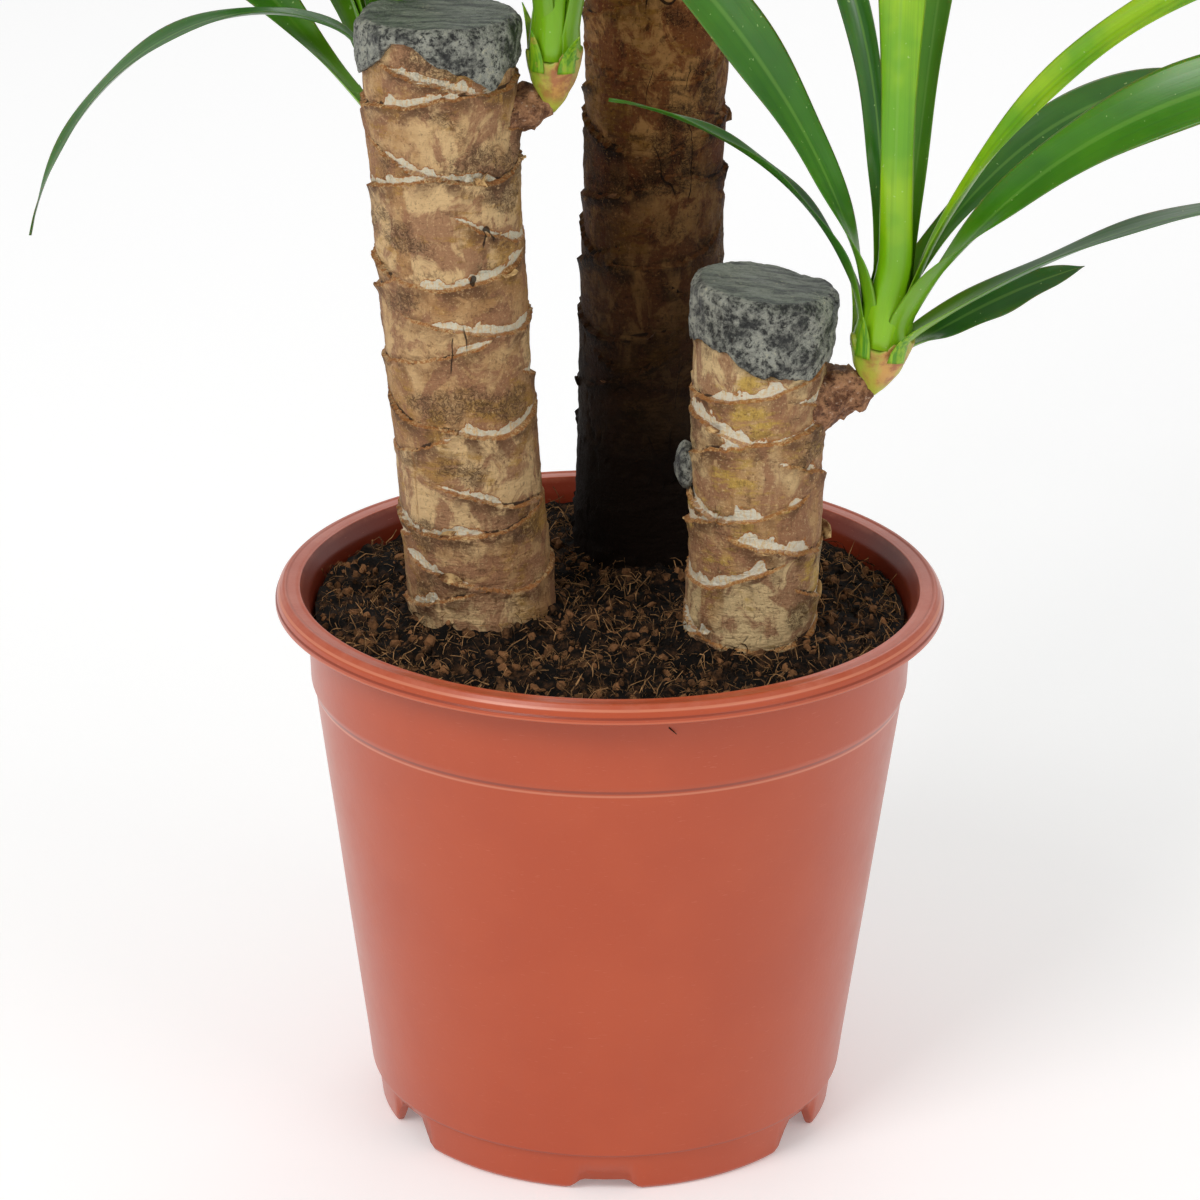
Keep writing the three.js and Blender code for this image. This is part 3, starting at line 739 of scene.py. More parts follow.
shoots = {
    "right": {
        "cane": "right", "base": (89.6, -27, 281), "stub": 7.5, "drop": 7, "leanTo": 90, "lean": 8,
        "height": 56, "radius": 8.9
    },
    "left_front": {
        "cane": "left", "base": (-21.3, -10, 375.4), "stub": 5.5, "drop": 5, "leanTo": 60, "lean": 2,
        "height": 58, "radius": 7.8,
    },
    "left_back": {
        "cane": "left", "base": (-75, 25, 340), "stub": 6, "drop": 4, "leanTo": -150, "lean": 10,
        "height": 56, "radius": 8.5,
    },
    "tall_front": {
        "cane": "tall", "base": (20, 5, 672), "stub": 6, "drop": 6, "leanTo": 20, "lean": 10, "height": 64,
        "radius": 9.5,
    },
    "tall_right": {
        "cane": "tall", "base": (42, 70, 660), "stub": 6, "drop": 6, "leanTo": 130, "lean": 10, "height": 64,
        "radius": 9.5,
    },
    "tall_left": {
        "cane": "tall", "base": (-29, 60, 684), "stub": 6, "drop": 6, "leanTo": -110, "lean": 10,
        "height": 64, "radius": 9.5,
    },
}
coreProfile = [(0, 0.12), (0.06, 0.45), (0.18, 0.82), (0.34, 1), (0.6, 0.86), (0.85, 0.55), (1, 0.3)]
cup = {"rise": 0.36, "flare": 0.2, "ragged": 2.6}
scale = {"count": 4, "rise": 0.27, "tall": 16, "splay": 3.4, "half": 3.4}


def towards(azimuth):
    return np.array([math.sin(math.radians(azimuth)), -math.cos(math.radians(azimuth)), 0])


def framed(axis):
    # two directions square to an axis, so that first, second and axis are right-handed
    axis = axis / np.linalg.norm(axis)
    first = np.cross([0, 1, 0.001], axis)
    first /= np.linalg.norm(first)
    return first, np.cross(axis, first), axis


def shootAxis(shoot):
    lean = math.radians(shoot["lean"])
    return towards(shoot["leanTo"]) * math.sin(lean) + np.array([0, 0, math.cos(lean)])


def alongAxis(name, start, end, radii, around, lumps, seed):
    # a lumpy closed tube from start to end; radii are (share of the run, radius)
    start, end = np.array(start, float), np.array(end, float)
    first, second, axis = framed(end - start)
    share = np.linspace(0, 1, max(8, int(np.linalg.norm(end - start) / 1.1)))
    radius = np.interp(share, [r[0] for r in radii], [r[1] for r in radii])
    turn = np.linspace(0, 2 * math.pi, around, endpoint=False)
    ring = np.cos(turn)[:, None] * first + np.sin(turn)[:, None] * second
    middle = start + share[:, None] * (end - start)
    spot = middle[:, None] + ring[None] * radius[:, None, None]
    push = lumps * noiseAt(spot, 4.5, seed, 3)
    rings = (middle[:, None] + ring[None] * (radius[:, None] + push)[..., None]) * mm
    return closedSkin(name, rings, start * mm, end * mm)


def stubMesh(name, shoot):
    foot = np.array(shoot["base"], float)
    foot[2] += shoot["radius"] * 0.3
    x, y, wide = caneAxis(canes[shoot["cane"]], foot[2])
    start = np.array([float(x), float(y), foot[2] - shoot["drop"]])
    gap = np.linalg.norm(foot - start)
    thick = shoot["stub"]
    radii = [
        (0, thick * 2), ((float(wide) - 5) / gap, thick * 1.75), ((float(wide) + 3) / gap, thick * 1.25),
        (0.86, thick), (1, thick * 0.4)
    ]
    return alongAxis(name, start, foot, radii, 56, 2.4, 51)


def coreMesh(name, shoot):
    # the bulb, with the old leaf foot round it as a thin ragged cup
    base, size = np.array(shoot["base"], float), shoot["radius"]
    first, second, axis = framed(shootAxis(shoot))
    share = np.sort(np.append(np.linspace(0, 1, 42), cup["rise"] + np.array([-0.012, 0, 0.012, 0.03])))
    turn = np.linspace(0, 2 * math.pi, 56, endpoint=False)
    ring = np.cos(turn)[:, None] * first + np.sin(turn)[:, None] * second
    rise, turns = np.meshgrid(share, turn, indexing="ij")
    wide = np.interp(rise, *zip(*coreProfile)) * size
    cupped = (rise <= cup["rise"] + 1e-6) * smoothstep(rise, 0.02, cup["rise"])
    wide = wide + cupped * size * cup["flare"] * (1 + 0.4 * np.sin(2 * turns + 0.7))
    wander = noiseAt(np.stack([np.cos(turns) * 9, np.sin(turns) * 9, turns * 0], -1), 5, 62, 3)
    lift = cup["ragged"] * wander * np.exp(-((rise - cup["rise"]) / 0.11) ** 2)
    lift = lift + 5 * np.exp(-((turns - 5.6) / 0.3) ** 2) * np.exp(-((rise - cup["rise"]) / 0.04) ** 2)
    spot = base + (rise * shoot["height"] + lift)[..., None] * axis + wide[..., None] * ring[None]
    spot = spot + 0.25 * noiseAt(spot, 4, 61, 3)[..., None] * ring[None]
    marks = {"rise": rise, "papery": 0.5 + 0.5 * np.cos(turns - 4.95) + 0.25 * wander}
    return closedSkin(name, spot * mm, base * mm, (base + axis * shoot["height"]) * mm, marks)


def coreFinish():
    f = Finish("pale shoot foot", {"Subsurface Weight": 0.12, "Subsurface Scale": 0.003, "Roughness": 0.42})
    rise, papery = f.mark("rise"), f.mark("papery")
    streak = f.noise(0.0014, 3, 0.6, f.stretched(1, 1, 0.1))
    blot = f.noise(0.006, 4, 0.65)
    body = f.mix(paint(188, 196, 70), paint(132, 176, 34), (streak * 0.5 + rise * 1.6).between(0.3, 0.9))
    tan = f.mix(paint(208, 158, 84), paint(176, 112, 66), blot.between(0.42, 0.6))
    low = rise.between(0.34, 0.375, 1.0, 0.0)
    body = f.mix(body, tan, (papery + blot * 0.5 - 0.25).between(0.55, 0.9) * low * rise.between(0.02, 0.14))
    body = f.mix(body, paint(196, 160, 84), rise.between(0.345, 0.36) * low * 0.7)
    body = f.mix(body, paint(60, 96, 22), rise.between(0.36, 0.4) * 0.6)
    f.feed("Base Color", body)
    f.bump(streak + blot, 0.35, 0.0005)
    return f.material


def stubFinish():
    f = Finish("red-brown stub", {"Specular IOR Level": 0.3})
    knob, scale = f.noise(0.004, 5, 0.7), f.noise(0.0024, 4, 0.7, f.stretched(1, 1, 1.8))
    body = f.mix(paint(98, 60, 38), paint(172, 126, 90), knob.between(0.38, 0.62))
    body = f.mix(body, paint(206, 178, 152), scale.between(0.58, 0.68) * 0.65)
    body = f.mix(body, paint(52, 28, 18), scale.between(0.36, 0.44, 1.0, 0.0) * 0.7)
    f.feed("Base Color", body)
    f.feed("Roughness", knob.between(0.3, 0.7, 0.6, 0.85))
    f.bump(knob + scale * 0.7, 0.9, 0.0014)
    return f.material


def scaleMesh(name, shoot):
    # short pointed scales that stand round the cup, each a thin closed blade
    base, size = np.array(shoot["base"], float), shoot["radius"]
    first, second, axis = framed(shootAxis(shoot))
    parts = bmesh.new()
    for k in range(scale["count"]):
        luck = latticeValue(np.array([[k, 3, 1], [k, 5, 2], [k, 7, 4]]), 71)
        turn = 0.6 + k * 2 * math.pi / scale["count"] + 0.4 * luck[0]
        outward = math.cos(turn) * first + math.sin(turn) * second
        across = np.cross(axis, outward)
        share = np.linspace(0, 1, 14)[:, None]
        tall = scale["tall"] * (1 + 0.3 * luck[1])
        spine = base + axis * (shoot["height"] * scale["rise"] + tall * share)
        spine = spine + outward * (size * 1.24 + scale["splay"] * (1.3 + luck[2]) * share ** 2)
        half = scale["half"] * (1 - share ** 1.8) + 0.05
        around = np.linspace(0, 2 * math.pi, 12, endpoint=False)
        wide = half * np.cos(around)
        depth = 0.35 * np.sin(around) - wide ** 2 / (2.4 * size)
        rings = spine[:, None] + wide[..., None] * across + depth[..., None] * outward
        blade = closedSkin("scale", rings * mm, spine[0] * mm, spine[-1] * mm)
        parts.from_mesh(blade)
        bpy.data.meshes.remove(blade)
    mesh = bpy.data.meshes.new(name)
    bmesh.ops.recalc_face_normals(parts, faces=parts.faces)
    parts.to_mesh(mesh)
    parts.free()
    mesh.shade_smooth()
    return mesh


def scaleFinish():
    f = Finish("green bud scale", {"Specular IOR Level": 0.45, "Roughness": 0.4, "Subsurface Weight": 0.08})
    streak = f.noise(0.0012, 3, 0.6, f.stretched(1, 1, 0.1))
    body = f.mix(paint(78, 142, 14), paint(140, 182, 24), streak.between(0.36, 0.64))
    f.feed("Base Color", f.mix(body, paint(190, 150, 70), f.noise(0.007, 3).between(0.58, 0.7) * 0.7))
    f.bump(streak, 0.3, 0.0004)
    return f.material


shootFinish, stubLook, scaleLook = coreFinish(), stubFinish(), scaleFinish()
for title, shoot in shoots.items():
    addPiece("stub_" + title, stubMesh("stub_" + title, shoot), stubLook, "bark")
    addPiece("foot_" + title, coreMesh("foot_" + title, shoot), shootFinish, "shoot", "core_" + title)
    addPiece("scales_" + title, scaleMesh("scales_" + title, shoot), scaleLook, "shoot")
report("shoots")


leaf = {"around": 14, "along": 60, "thickness": 1.1, "collar": 0.34, "hug": 0.6}
# half width at the foot, as a share of the shoot's radius, where a leaf is broader there than the others
broadFeet = {"leaf_right_7": 1.05, "leaf_right_9": 0.8, "leaf_right_4": 0.75, "leaf_right_2": 0.75}
# how many younger leaves stand inside each tuft
innerLeaves = {"left_front": 3, "left_back": 3, "tall_front": 4, "tall_right": 4, "tall_left": 4}
# how young a leaf looks: 0 is deep green, 1 bright yellow-green
tints = {
    "right_1": 0.1, "right_2": 0.22, "right_3": 0.02, "right_4": 1.0, "right_5": 0.5, "right_6": 0.95,
    "right_7": 0.3, "right_8": 0.12, "right_9": 0.05, "right_10": 0.0,
}


def neighbours(vertex):
    return {edge.other_vert(vertex) for edge in vertex.link_edges}


def stripRings(node):
    # a CAD leaf's rings of four points, from its neck to its tip
    strip = bmesh.new()
    strip.from_mesh(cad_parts[node].data)
    bmesh.ops.remove_doubles(strip, verts=strip.verts, dist=1e-5)
    start, end = [v for v in strip.verts if len(v.link_edges) == 4]
    seen, ring, rings = {start, end}, neighbours(start), []
    while ring:
        # sorted, as the order within a set changes from run to run
        rings.append(sorted(tuple(v.co) for v in ring))
        seen |= ring
        ring = set().union(*(neighbours(v) for v in ring)) - seen
    rings = np.array(rings)
    strip.free()
    spread = np.ptp(rings, axis=1).sum(-1)
    return rings[::-1] if spread[0] < spread[-1] else rings


def leafStations(node, shoot):
    rings = stripRings(node)
    gaps = np.linalg.norm(rings[:, :, None] - rings[:, None], axis=-1).reshape(len(rings), -1)
    far = np.stack(np.unravel_index(gaps.argmax(1), (4, 4)), -1)
    rows = []
    for ring, pair in zip(rings, far):
        rest = [k for k in range(4) if k not in pair]
        rows.append((ring[pair[0]], ring[pair[1]], ring[rest[0]], ring[rest[1]]))
    left, right, above, below = (np.array([row[k] for row in rows]) for k in range(4))
    spine = (above + below) / 2
    side, up = right - left, above - below
    half = np.linalg.norm(side, axis=1) / 2
    side /= np.linalg.norm(side, axis=1)[:, None]
    up /= np.linalg.norm(up, axis=1)[:, None]
    middle = 7
    if np.dot(up[middle], (left + right)[middle] / 2 - spine[middle]) < 0:
        up[middle] *= -1
    for order in (range(middle + 1, len(rings)), range(middle - 1, -1, -1)):
        for k in order:
            near = k - 1 if k > middle else k + 1
            side[k] *= np.sign(np.dot(side[k], side[near]))
            up[k] *= np.sign(np.dot(up[k], up[near]))
    length = np.linalg.norm(np.diff(spine, axis=0), axis=1).sum()
    share = np.linspace(0, 1, len(rings))
    lift = np.array([np.dot((l + r) / 2 - s, u) for l, r, s, u in zip(left, right, spine, up)])
    fold = np.clip(lift / np.maximum(half, 1e-4), 0, 0.6)
    sheath = shoot["radius"] * mm
    half = (half ** 4 + (broadFeet.get(node, leaf["hug"]) * sheath * (1 - share) ** 1.2) ** 4) ** 0.25
    curl = (1 - smoothstep(share, 0, 0.32)) / sheath
    spine = spine + up * (1.3 * mm * (1 - smoothstep(share, 0, 0.2)))[:, None]
    # below its neck the leaf runs down the shoot's foot as a sheath
    base, axis = np.array(shoot["base"]) * mm, shootAxis(shoot)
    rise = np.dot(spine[0] - base, axis)
    outward = spine[0] - base - rise * axis
    outward /= np.linalg.norm(outward)
    low = leaf["collar"] * shoot["height"] * mm
    steps = np.linspace(low, rise, 5)[:-1] if rise > low + 0.004 else np.array([rise - 0.004])
    wide = np.interp(steps / mm / shoot["height"], *zip(*coreProfile)) * sheath + 0.8 * mm
    foot = base + steps[:, None] * axis + wide[:, None] * outward
    count = len(steps)
    across = np.cross(axis, -outward)
    across *= np.sign(np.dot(across, side[0]))
    return {
        "spine": np.vstack([foot, spine]), "side": np.vstack([[across] * count, side]),
        "up": np.vstack([[-outward] * count, up]), "half": np.append([half[0]] * count, half),
        "curl": np.append([curl[0]] * count, curl), "fold": np.append([0] * count, fold), "length": length,
    }


def innerStations(shoot, azimuth, lean, droop, length, width):
    # a younger leaf inside the tuft, in the same terms as leafStations
    base, size, count = np.array(shoot["base"]) * mm, shoot["radius"] * mm, 16
    share, heading = np.linspace(0, 1, count), towards(azimuth)
    angle = np.radians(lean + (droop - lean) * share ** 1.5)
    along = np.sin(angle)[:, None] * heading + np.cos(angle)[:, None] * np.array([0, 0, 1])
    start = base + shootAxis(shoot) * shoot["height"] * 0.55 * mm + heading * size * 0.5
    spine = start + np.cumsum(np.vstack([np.zeros(3), along[:-1]]), 0) * length * mm / (count - 1)
    side = np.repeat(np.cross(heading, [0, 0, 1])[None], count, 0)
    half = width / 2 * mm * (0.4 + 0.6 * smoothstep(share, 0, 0.5)) * np.clip(1 - share ** 2.4, 0.02, 1)
    return {
        "spine": spine, "side": side, "up": np.cross(side, along), "half": half,
        "curl": (1 - smoothstep(share, 0, 0.32)) / size, "fold": np.full(count, 0.25), "length": length * mm,
    }


def spineMesh(name, rows):
    mesh = bpy.data.meshes.new(name)
    count = len(rows["spine"])
    mesh.from_pydata(rows["spine"], [(k, k + 1) for k in range(count - 1)], [])
    for key in ("side", "up"):
        data = np.asarray(rows[key], np.float32).ravel()
        mesh.attributes.new(key, "FLOAT_VECTOR", "POINT").data.foreach_set("vector", data)
    for key in ("half", "curl", "fold"):
        mesh.attributes.new(key, "FLOAT", "POINT").data.foreach_set(
            "value", np.asarray(rows[key], np.float32)
        )
    return mesh


def bladeTree():
    # a leaf blade that follows its spine: a flattened tube, curled round the shoot at its foot, folded above
    g = treeNamed("leaf blade", {
        "Around": "Int", "Along": "Int", "Thickness": "Float", "Ripple": "Float", "Phase": "Float",
        "Tint": "Float",
        "Length": "Float", "Finish": "Material",
    })
    line = g.node("GeometryNodeMeshToCurve", None, {"Mesh": g.given["Geometry"]})
    line = g.node("GeometryNodeCurveSplineType", {"spline_type": "CATMULL_ROM"}, {"Curve": line})
    line = g.node("GeometryNodeSetSplineResolution", None, {"Geometry": line, "Resolution": 8})
    tube = g.node("GeometryNodeMeshCylinder", {"fill_type": "TRIANGLE_FAN"}, {
        "Vertices": g.given["Around"], "Side Segments": g.given["Along"], "Radius": 1.0, "Depth": 1.0,
    })
    here = g.node("GeometryNodeInputPosition")
    across, rise, height = (g.node("ShaderNodeSeparateXYZ", None, {0: here}, k) for k in range(3))
    run = height + 0.5

    def along(key, kind):
        value = g.node("GeometryNodeInputNamedAttribute", {"data_type": kind}, {"Name": key})
        return g.node(
            "GeometryNodeSampleCurve", {"mode": "FACTOR", "data_type": kind}, {
                "Curves": line, "Value": value, "Factor": run
            }
        )

    middle = g.node(
        "GeometryNodeSampleCurve", {"mode": "FACTOR"}, {"Curves": line, "Factor": run}, "Position"
    )
    side, up = along("side", "FLOAT_VECTOR"), along("up", "FLOAT_VECTOR")
    half, curl, fold = along("half", "FLOAT"), along("curl", "FLOAT"), along("fold", "FLOAT")
    width = across * half
    bend = curl * width
    outward = width * (1 - bend * bend / 6)
    crease = g.node("ShaderNodeMath", {"operation": "SQRT"}, {0: across * across + 0.02})
    wave = g.node("ShaderNodeMath", {"operation": "SINE"}, {0: run * 21 + g.given["Phase"]})
    inward = bend * width / 2 * (1 - bend * bend / 12) + fold * half * (crease - 0.14)
    inward = inward + wave * across * across * across * g.given["Ripple"]
    thick = g.given["Thickness"] * (1.25 - run) * (half / (half + 0.001))
    inward = inward + rise * thick * 0.5
    place = middle + side * outward + up * inward
    lane = g.node("ShaderNodeCombineXYZ", None, {0: width, 1: run * g.given["Length"], 2: g.given["Phase"]})
    for title, value in (("run", run), ("across", across), ("lane", lane), ("tint", g.given["Tint"])):
        kind = "FLOAT_VECTOR" if title == "lane" else "FLOAT"
        tube = g.node("GeometryNodeStoreNamedAttribute", {"data_type": kind, "domain": "POINT"}, {
            "Geometry": tube, "Name": title, "Value": value,
        })
    tube = g.node("GeometryNodeSetPosition", None, {"Geometry": tube, "Position": place})
    tube = g.node("GeometryNodeSetShadeSmooth", None, {"Geometry": tube})
    return closeTree(g, tube)


def leafFinish():
    f = Finish("glossy yucca leaf", {
        "Specular IOR Level": 0.5, "Subsurface Weight": 0.12, "Subsurface Scale": 0.002, "Coat Weight": 0.12,
        "Coat Roughness": 0.25,
    })
    run, across, tint, lane = f.mark("run"), f.mark("across"), f.mark("tint"), f.mark("lane", "Vector")
    veinPlace = f.node("ShaderNodeVectorMath", {"operation": "MULTIPLY"}, {0: lane, 1: (1, 0.012, 1)})
    vein = f.noise(0.0011, 2, 0.5, veinPlace)
    broad = f.noise(0.006, 2, 0.5, veinPlace)
    cloud = f.noise(0.03, 3, 0.6, lane)
    grown = f.mix(paint(30, 88, 8), paint(74, 140, 8), (cloud * 0.6 + tint).between(0.2, 0.95))
    young = f.mix(paint(104, 166, 0), paint(150, 194, 4), cloud.between(0.35, 0.65))
    body = f.mix(grown, young, tint.between(0.35, 1))
    body = f.mix(body, paint(98, 158, 26), broad.between(0.5, 0.75) * 0.22)
    body = f.mix(body, paint(28, 82, 14), vein.between(0.5, 0.7) * 0.2)
    body = f.mix(
        body, paint(128, 176, 70), (across * across).between(0.0, 0.012, 0.3, 0.0) * run.between(0.1, 0.3)
    )
    foot = 1 - run.between(0.0, 0.26)
    body = f.mix(body, paint(130, 182, 14), foot * 0.8)
    edge = (across * across).between(0.9, 1.0)
    # painted shade: the sheath's edges are darker at the foot, where the leaves overlap round the shoot
    body = f.mix(body, paint(66, 112, 20), edge * foot.between(0.3, 1) * 0.7)
    body = f.mix(body, paint(150, 188, 84), edge * 0.25 * (1 - foot))
    fleck = f.noise(0.0016, 1, 0.5, lane).between(0.74, 0.78)
    f.feed("Base Color", f.mix(body, paint(176, 206, 130), fleck * 0.5))
    f.feed("Roughness", vein.between(0.3, 0.7, 0.3, 0.42))
    f.bump(vein * 0.6 + broad * 0.4, 0.25, 0.0004)
    return f.material


def growLeaf(name, rows, index, tint, *nodes):
    mesh = grow(name, spineMesh(name + "_spine", rows), blades, {
        "Around": leaf["around"], "Along": leaf["along"], "Thickness": leaf["thickness"] * mm,
        "Ripple": 0.0006,
        "Phase": 3.1 * index, "Tint": float(tint), "Length": float(rows["length"]), "Finish": leafLook,
    })
    addPiece(name, mesh, leafLook, "leaf", *nodes)


leafLook, blades = leafFinish(), bladeTree()
for index, node in enumerate(sorted(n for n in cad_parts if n.startswith("leaf_"))):
    title, number = node[5:].rsplit("_", 1)
    luck = latticeValue(np.array([index, 5, 9]), 77)
    tint = tints.get(node[5:], 0.15 + 0.1 * luck + (0.3 if int(number) > 5 else 0))
    growLeaf("blade_" + node[5:], leafStations(node, shoots[title]), index, tint, node)
for title, count in innerLeaves.items():
    shoot = shoots[title]
    for k in range(count):
        luck = latticeValue(np.array([[k, count, 3], [k, count, 5], [k, count, 8]]), 78)
        rows = innerStations(
            shoot, shoot["leanTo"] + 50 + 137.5 * k, 16 - 3 * k, 44 - 8 * k + 8 * luck[0],
            225 + 25 * luck[1], 24 + 3 * luck[2],
        )
        growLeaf("inner_" + title + "_" + str(k + 1), rows, 70 + k, 0.35 + 0.08 * k)
report("leaves")


caps = {
    "left": {"thickness": 3.6, "wall": 2, "skirt": 12},
    "tall": {"thickness": 3.6, "wall": 2, "skirt": 17},
    "right": {"thickness": 6.2, "wall": 1.7, "skirt": 17},
}
# where a cap's lower edge hangs lower (mm below its mean) at turns round it, in degrees from +X
runs = {
    "left": [(-158, 4, 20), (-112, -11, 24), (-48, 5, 18), (90, 4, 40)],
    "tall": [(-60, 3, 30), (120, -3, 40)],
    "right": [(-150, -5, 40), (-62, 5, 34), (0, 2, 30)],
}


def capMesh(name, cane, cap):
    top = cane["stations"][-1][2]
    x, y, radius = (float(v) for v in caneAxis(cane, top))
    lid, outer = top + cap["thickness"], radius + cap["wall"]
    turn = np.linspace(0, 2 * math.pi, 150, endpoint=False)
    wander = np.stack([np.cos(turn), np.sin(turn), turn * 0], -1)
    hang = np.zeros_like(turn)
    for centre, drop, spread in runs[name[4:]]:
        away = (turn - math.radians(centre) + math.pi) % (2 * math.pi) - math.pi
        hang = hang + drop * np.exp(-(away / math.radians(spread)) ** 2)
    hang = hang + 1.6 * noiseAt(wander * 22, 5, 91, 3)
    low = np.minimum(top - cap["skirt"] - hang, top - 1.5)
    profile = [(r * (outer - 4), lid) for r in np.linspace(0.04, 1, 24)]
    profile += [
        (outer - 4 + 4 * math.sin(a), lid - 4 + 4 * math.cos(a))
        for a in np.linspace(0.12, math.pi / 2, 8)
    ]
    sides = np.linspace(0, 1, 24)[1:]
    rings = []
    for reach, level in profile:
        rings.append(np.stack([reach * np.cos(turn), reach * np.sin(turn), np.full_like(turn, level)], -1))
    for s in sides:
        width = outer - 0.7 * max(0, s - 0.8) / 0.2
        rings.append(
            np.stack([width * np.cos(turn), width * np.sin(turn), lid - 4 + s * (low - lid + 4)], -1)
        )
    shell = np.array(rings)
    lumps = 0.7 * noiseAt(shell, 9, 92, 2) + 0.4 * noiseAt(shell, 2.4, 93, 3)
    flow = np.linalg.norm(shell[..., :2], axis=-1) / outer
    push = lumps * np.clip(flow, 0.15, 1)
    shell[..., 0] += np.cos(turn) * push * (flow > 0.8)
    shell[..., 1] += np.sin(turn) * push * (flow > 0.8)
    shell[..., 2] += np.where(flow < 0.995, push + 0.5 * noiseAt(shell, 14, 94, 2) * (1 - flow), 0)
    inner = []
    for level in (0.9, 0):
        inner.append(
            np.stack(
                [
                    (radius - 1.2) * np.cos(turn), (radius - 1.2) * np.sin(turn),
                    low + (top - 1 - low) * (1 - level)
                ],
                -1
            )
        )
    shell = np.concatenate([shell, np.array(inner)])
    local = caneAxis(cane, shell[..., 2])
    shell[..., 2] -= cane["slope"] * shell[..., 0] * smoothstep(shell[..., 2], top - 14, top)
    shell[..., 0] += local[0]
    shell[..., 1] += local[1]
    start, end = np.array([x, y, lid]), np.array([x, y, top - 1])
    onLid = np.repeat((np.arange(len(shell)) < 25)[:, None], len(turn), 1)
    return closedSkin(name, shell[::-1] * mm, end * mm, start * mm, {"lid": onLid[::-1]})


def waxFinish():
    f = Finish("grey cutting wax", {"Specular IOR Level": 0.4})
    lid = f.mark("lid").between(0.0, 1.0)
    cloud, fleck, grit = f.noise(0.009, 4, 0.65), f.noise(0.0024, 4, 0.75), f.noise(0.0012, 3, 0.7)
    brushed = f.noise(0.006, 4, 0.65, f.stretched(0.4, 1.8, 1))
    side = f.mix(paint(44, 45, 43), paint(156, 157, 145), (cloud * 0.5 + fleck * 0.5).between(0.4, 0.6))
    face = f.mix(paint(72, 78, 72), paint(130, 136, 122), brushed.between(0.36, 0.62))
    body = f.mix(side, face, lid)
    body = f.mix(
        body, paint(158, 156, 138),
        fleck.between(0.56, 0.66) * cloud.between(0.44, 0.6) * (1 - lid * 0.5) * 0.9
    )
    body = f.mix(body, paint(190, 184, 158), (grit * 0.6 + cloud * 0.4).between(0.6, 0.66) * 0.7)
    body = f.mix(
        body, paint(26, 26, 25),
        (fleck * 0.6 + grit * 0.4).between(0.4, 0.46, 1.0, 0.0) * (1 - lid * 0.5) * 0.8
    )
    f.feed("Base Color", body)
    f.feed("Roughness", cloud.between(0.3, 0.7, 0.34, 0.6))
    f.bump(fleck * 1.4 + cloud * 0.8 + grit * 0.3, 0.9, 0.0014)
    return f.material


waxLook = waxFinish()
for side, cap in caps.items():
    addPiece("cap_" + side, capMesh("cap_" + side, canes[side], cap), waxLook, "wax", "wax_cap_" + side)
plug = {"centre": (26.4, -27, 254.5), "radii": (4.4, 7, 8.5)}
ball = bmesh.new()
bmesh.ops.create_icosphere(ball, subdivisions=4, radius=1)
for v in ball.verts:
    spot = np.array(v.co) * plug["radii"]
    spot = spot * (1 + 0.16 * float(noiseAt(spot[None], 4, 95, 3)[0])) + plug["centre"]
    v.co = Vector(spot * mm)
ballMesh = bpy.data.meshes.new("wax_blob")
ball.to_mesh(ballMesh)
ball.free()
ballMesh.shade_smooth()
addPiece("wax_blob", ballMesh, waxLook, "wax", "wax_plug")
report("wax")


soil = {
    "front": 190.3, "back": 193.6, "around": 240, "rings": 90, "crumbs": 74000, "fibres": 112000, "seed": 4,
}


def groundHeight(x, y):
    reach = 107
    back = (y + reach) / (2 * reach)
    level = soil["front"] + back * (soil["back"] - soil["front"])
    spot = np.stack([x, y, x * 0], -1)
    lumps = 1.6 * noiseAt(spot, 24, 101, 2) + 2.6 * noiseAt(spot, 8.5, 102, 3)
    lumps = lumps + 1.1 * noiseAt(spot, 3, 103, 2)
    for cane in canes.values():
        cx, cy, radius = (float(v) for v in caneAxis(cane, 191))
        level = level + 4 * np.exp(-np.maximum(np.hypot(x - cx, y - cy) - radius, 0) / 7)
    return level + lumps - 0.6


def soilMesh():
    edge = 105.3
    turn = np.linspace(0, 2 * math.pi, soil["around"], endpoint=False)
    reach = np.linspace(1, edge, soil["rings"])
    radius, turns = np.meshgrid(reach, turn, indexing="ij")
    x, y = radius * np.cos(turns), radius * np.sin(turns)
    top = np.stack([x, y, groundHeight(x, y)], -1)
    wall = []
    for r, z in ((84.2, 14.6), (103, 163), (104.6, 168)):
        wall.append(np.stack([r * np.cos(turn), r * np.sin(turn), np.full_like(turn, z)], -1))
    rings = np.concatenate([np.array(wall), top[::-1]])
    bare = np.ones(rings.shape[:2])
    bare[:4] = 0
    for cane in canes.values():
        cx, cy, r = (float(v) for v in caneAxis(cane, 191))
        bare *= np.hypot(rings[..., 0] - cx, rings[..., 1] - cy) > r - 1
    bare *= np.hypot(rings[..., 0], rings[..., 1]) < 103.5
    centre = np.array([0, 0, float(groundHeight(np.zeros(1), np.zeros(1))[0])])
    return closedSkin("soil_plug", rings * mm, np.array([0, 0, 14.6]) * mm, centre * mm, {"open": bare})


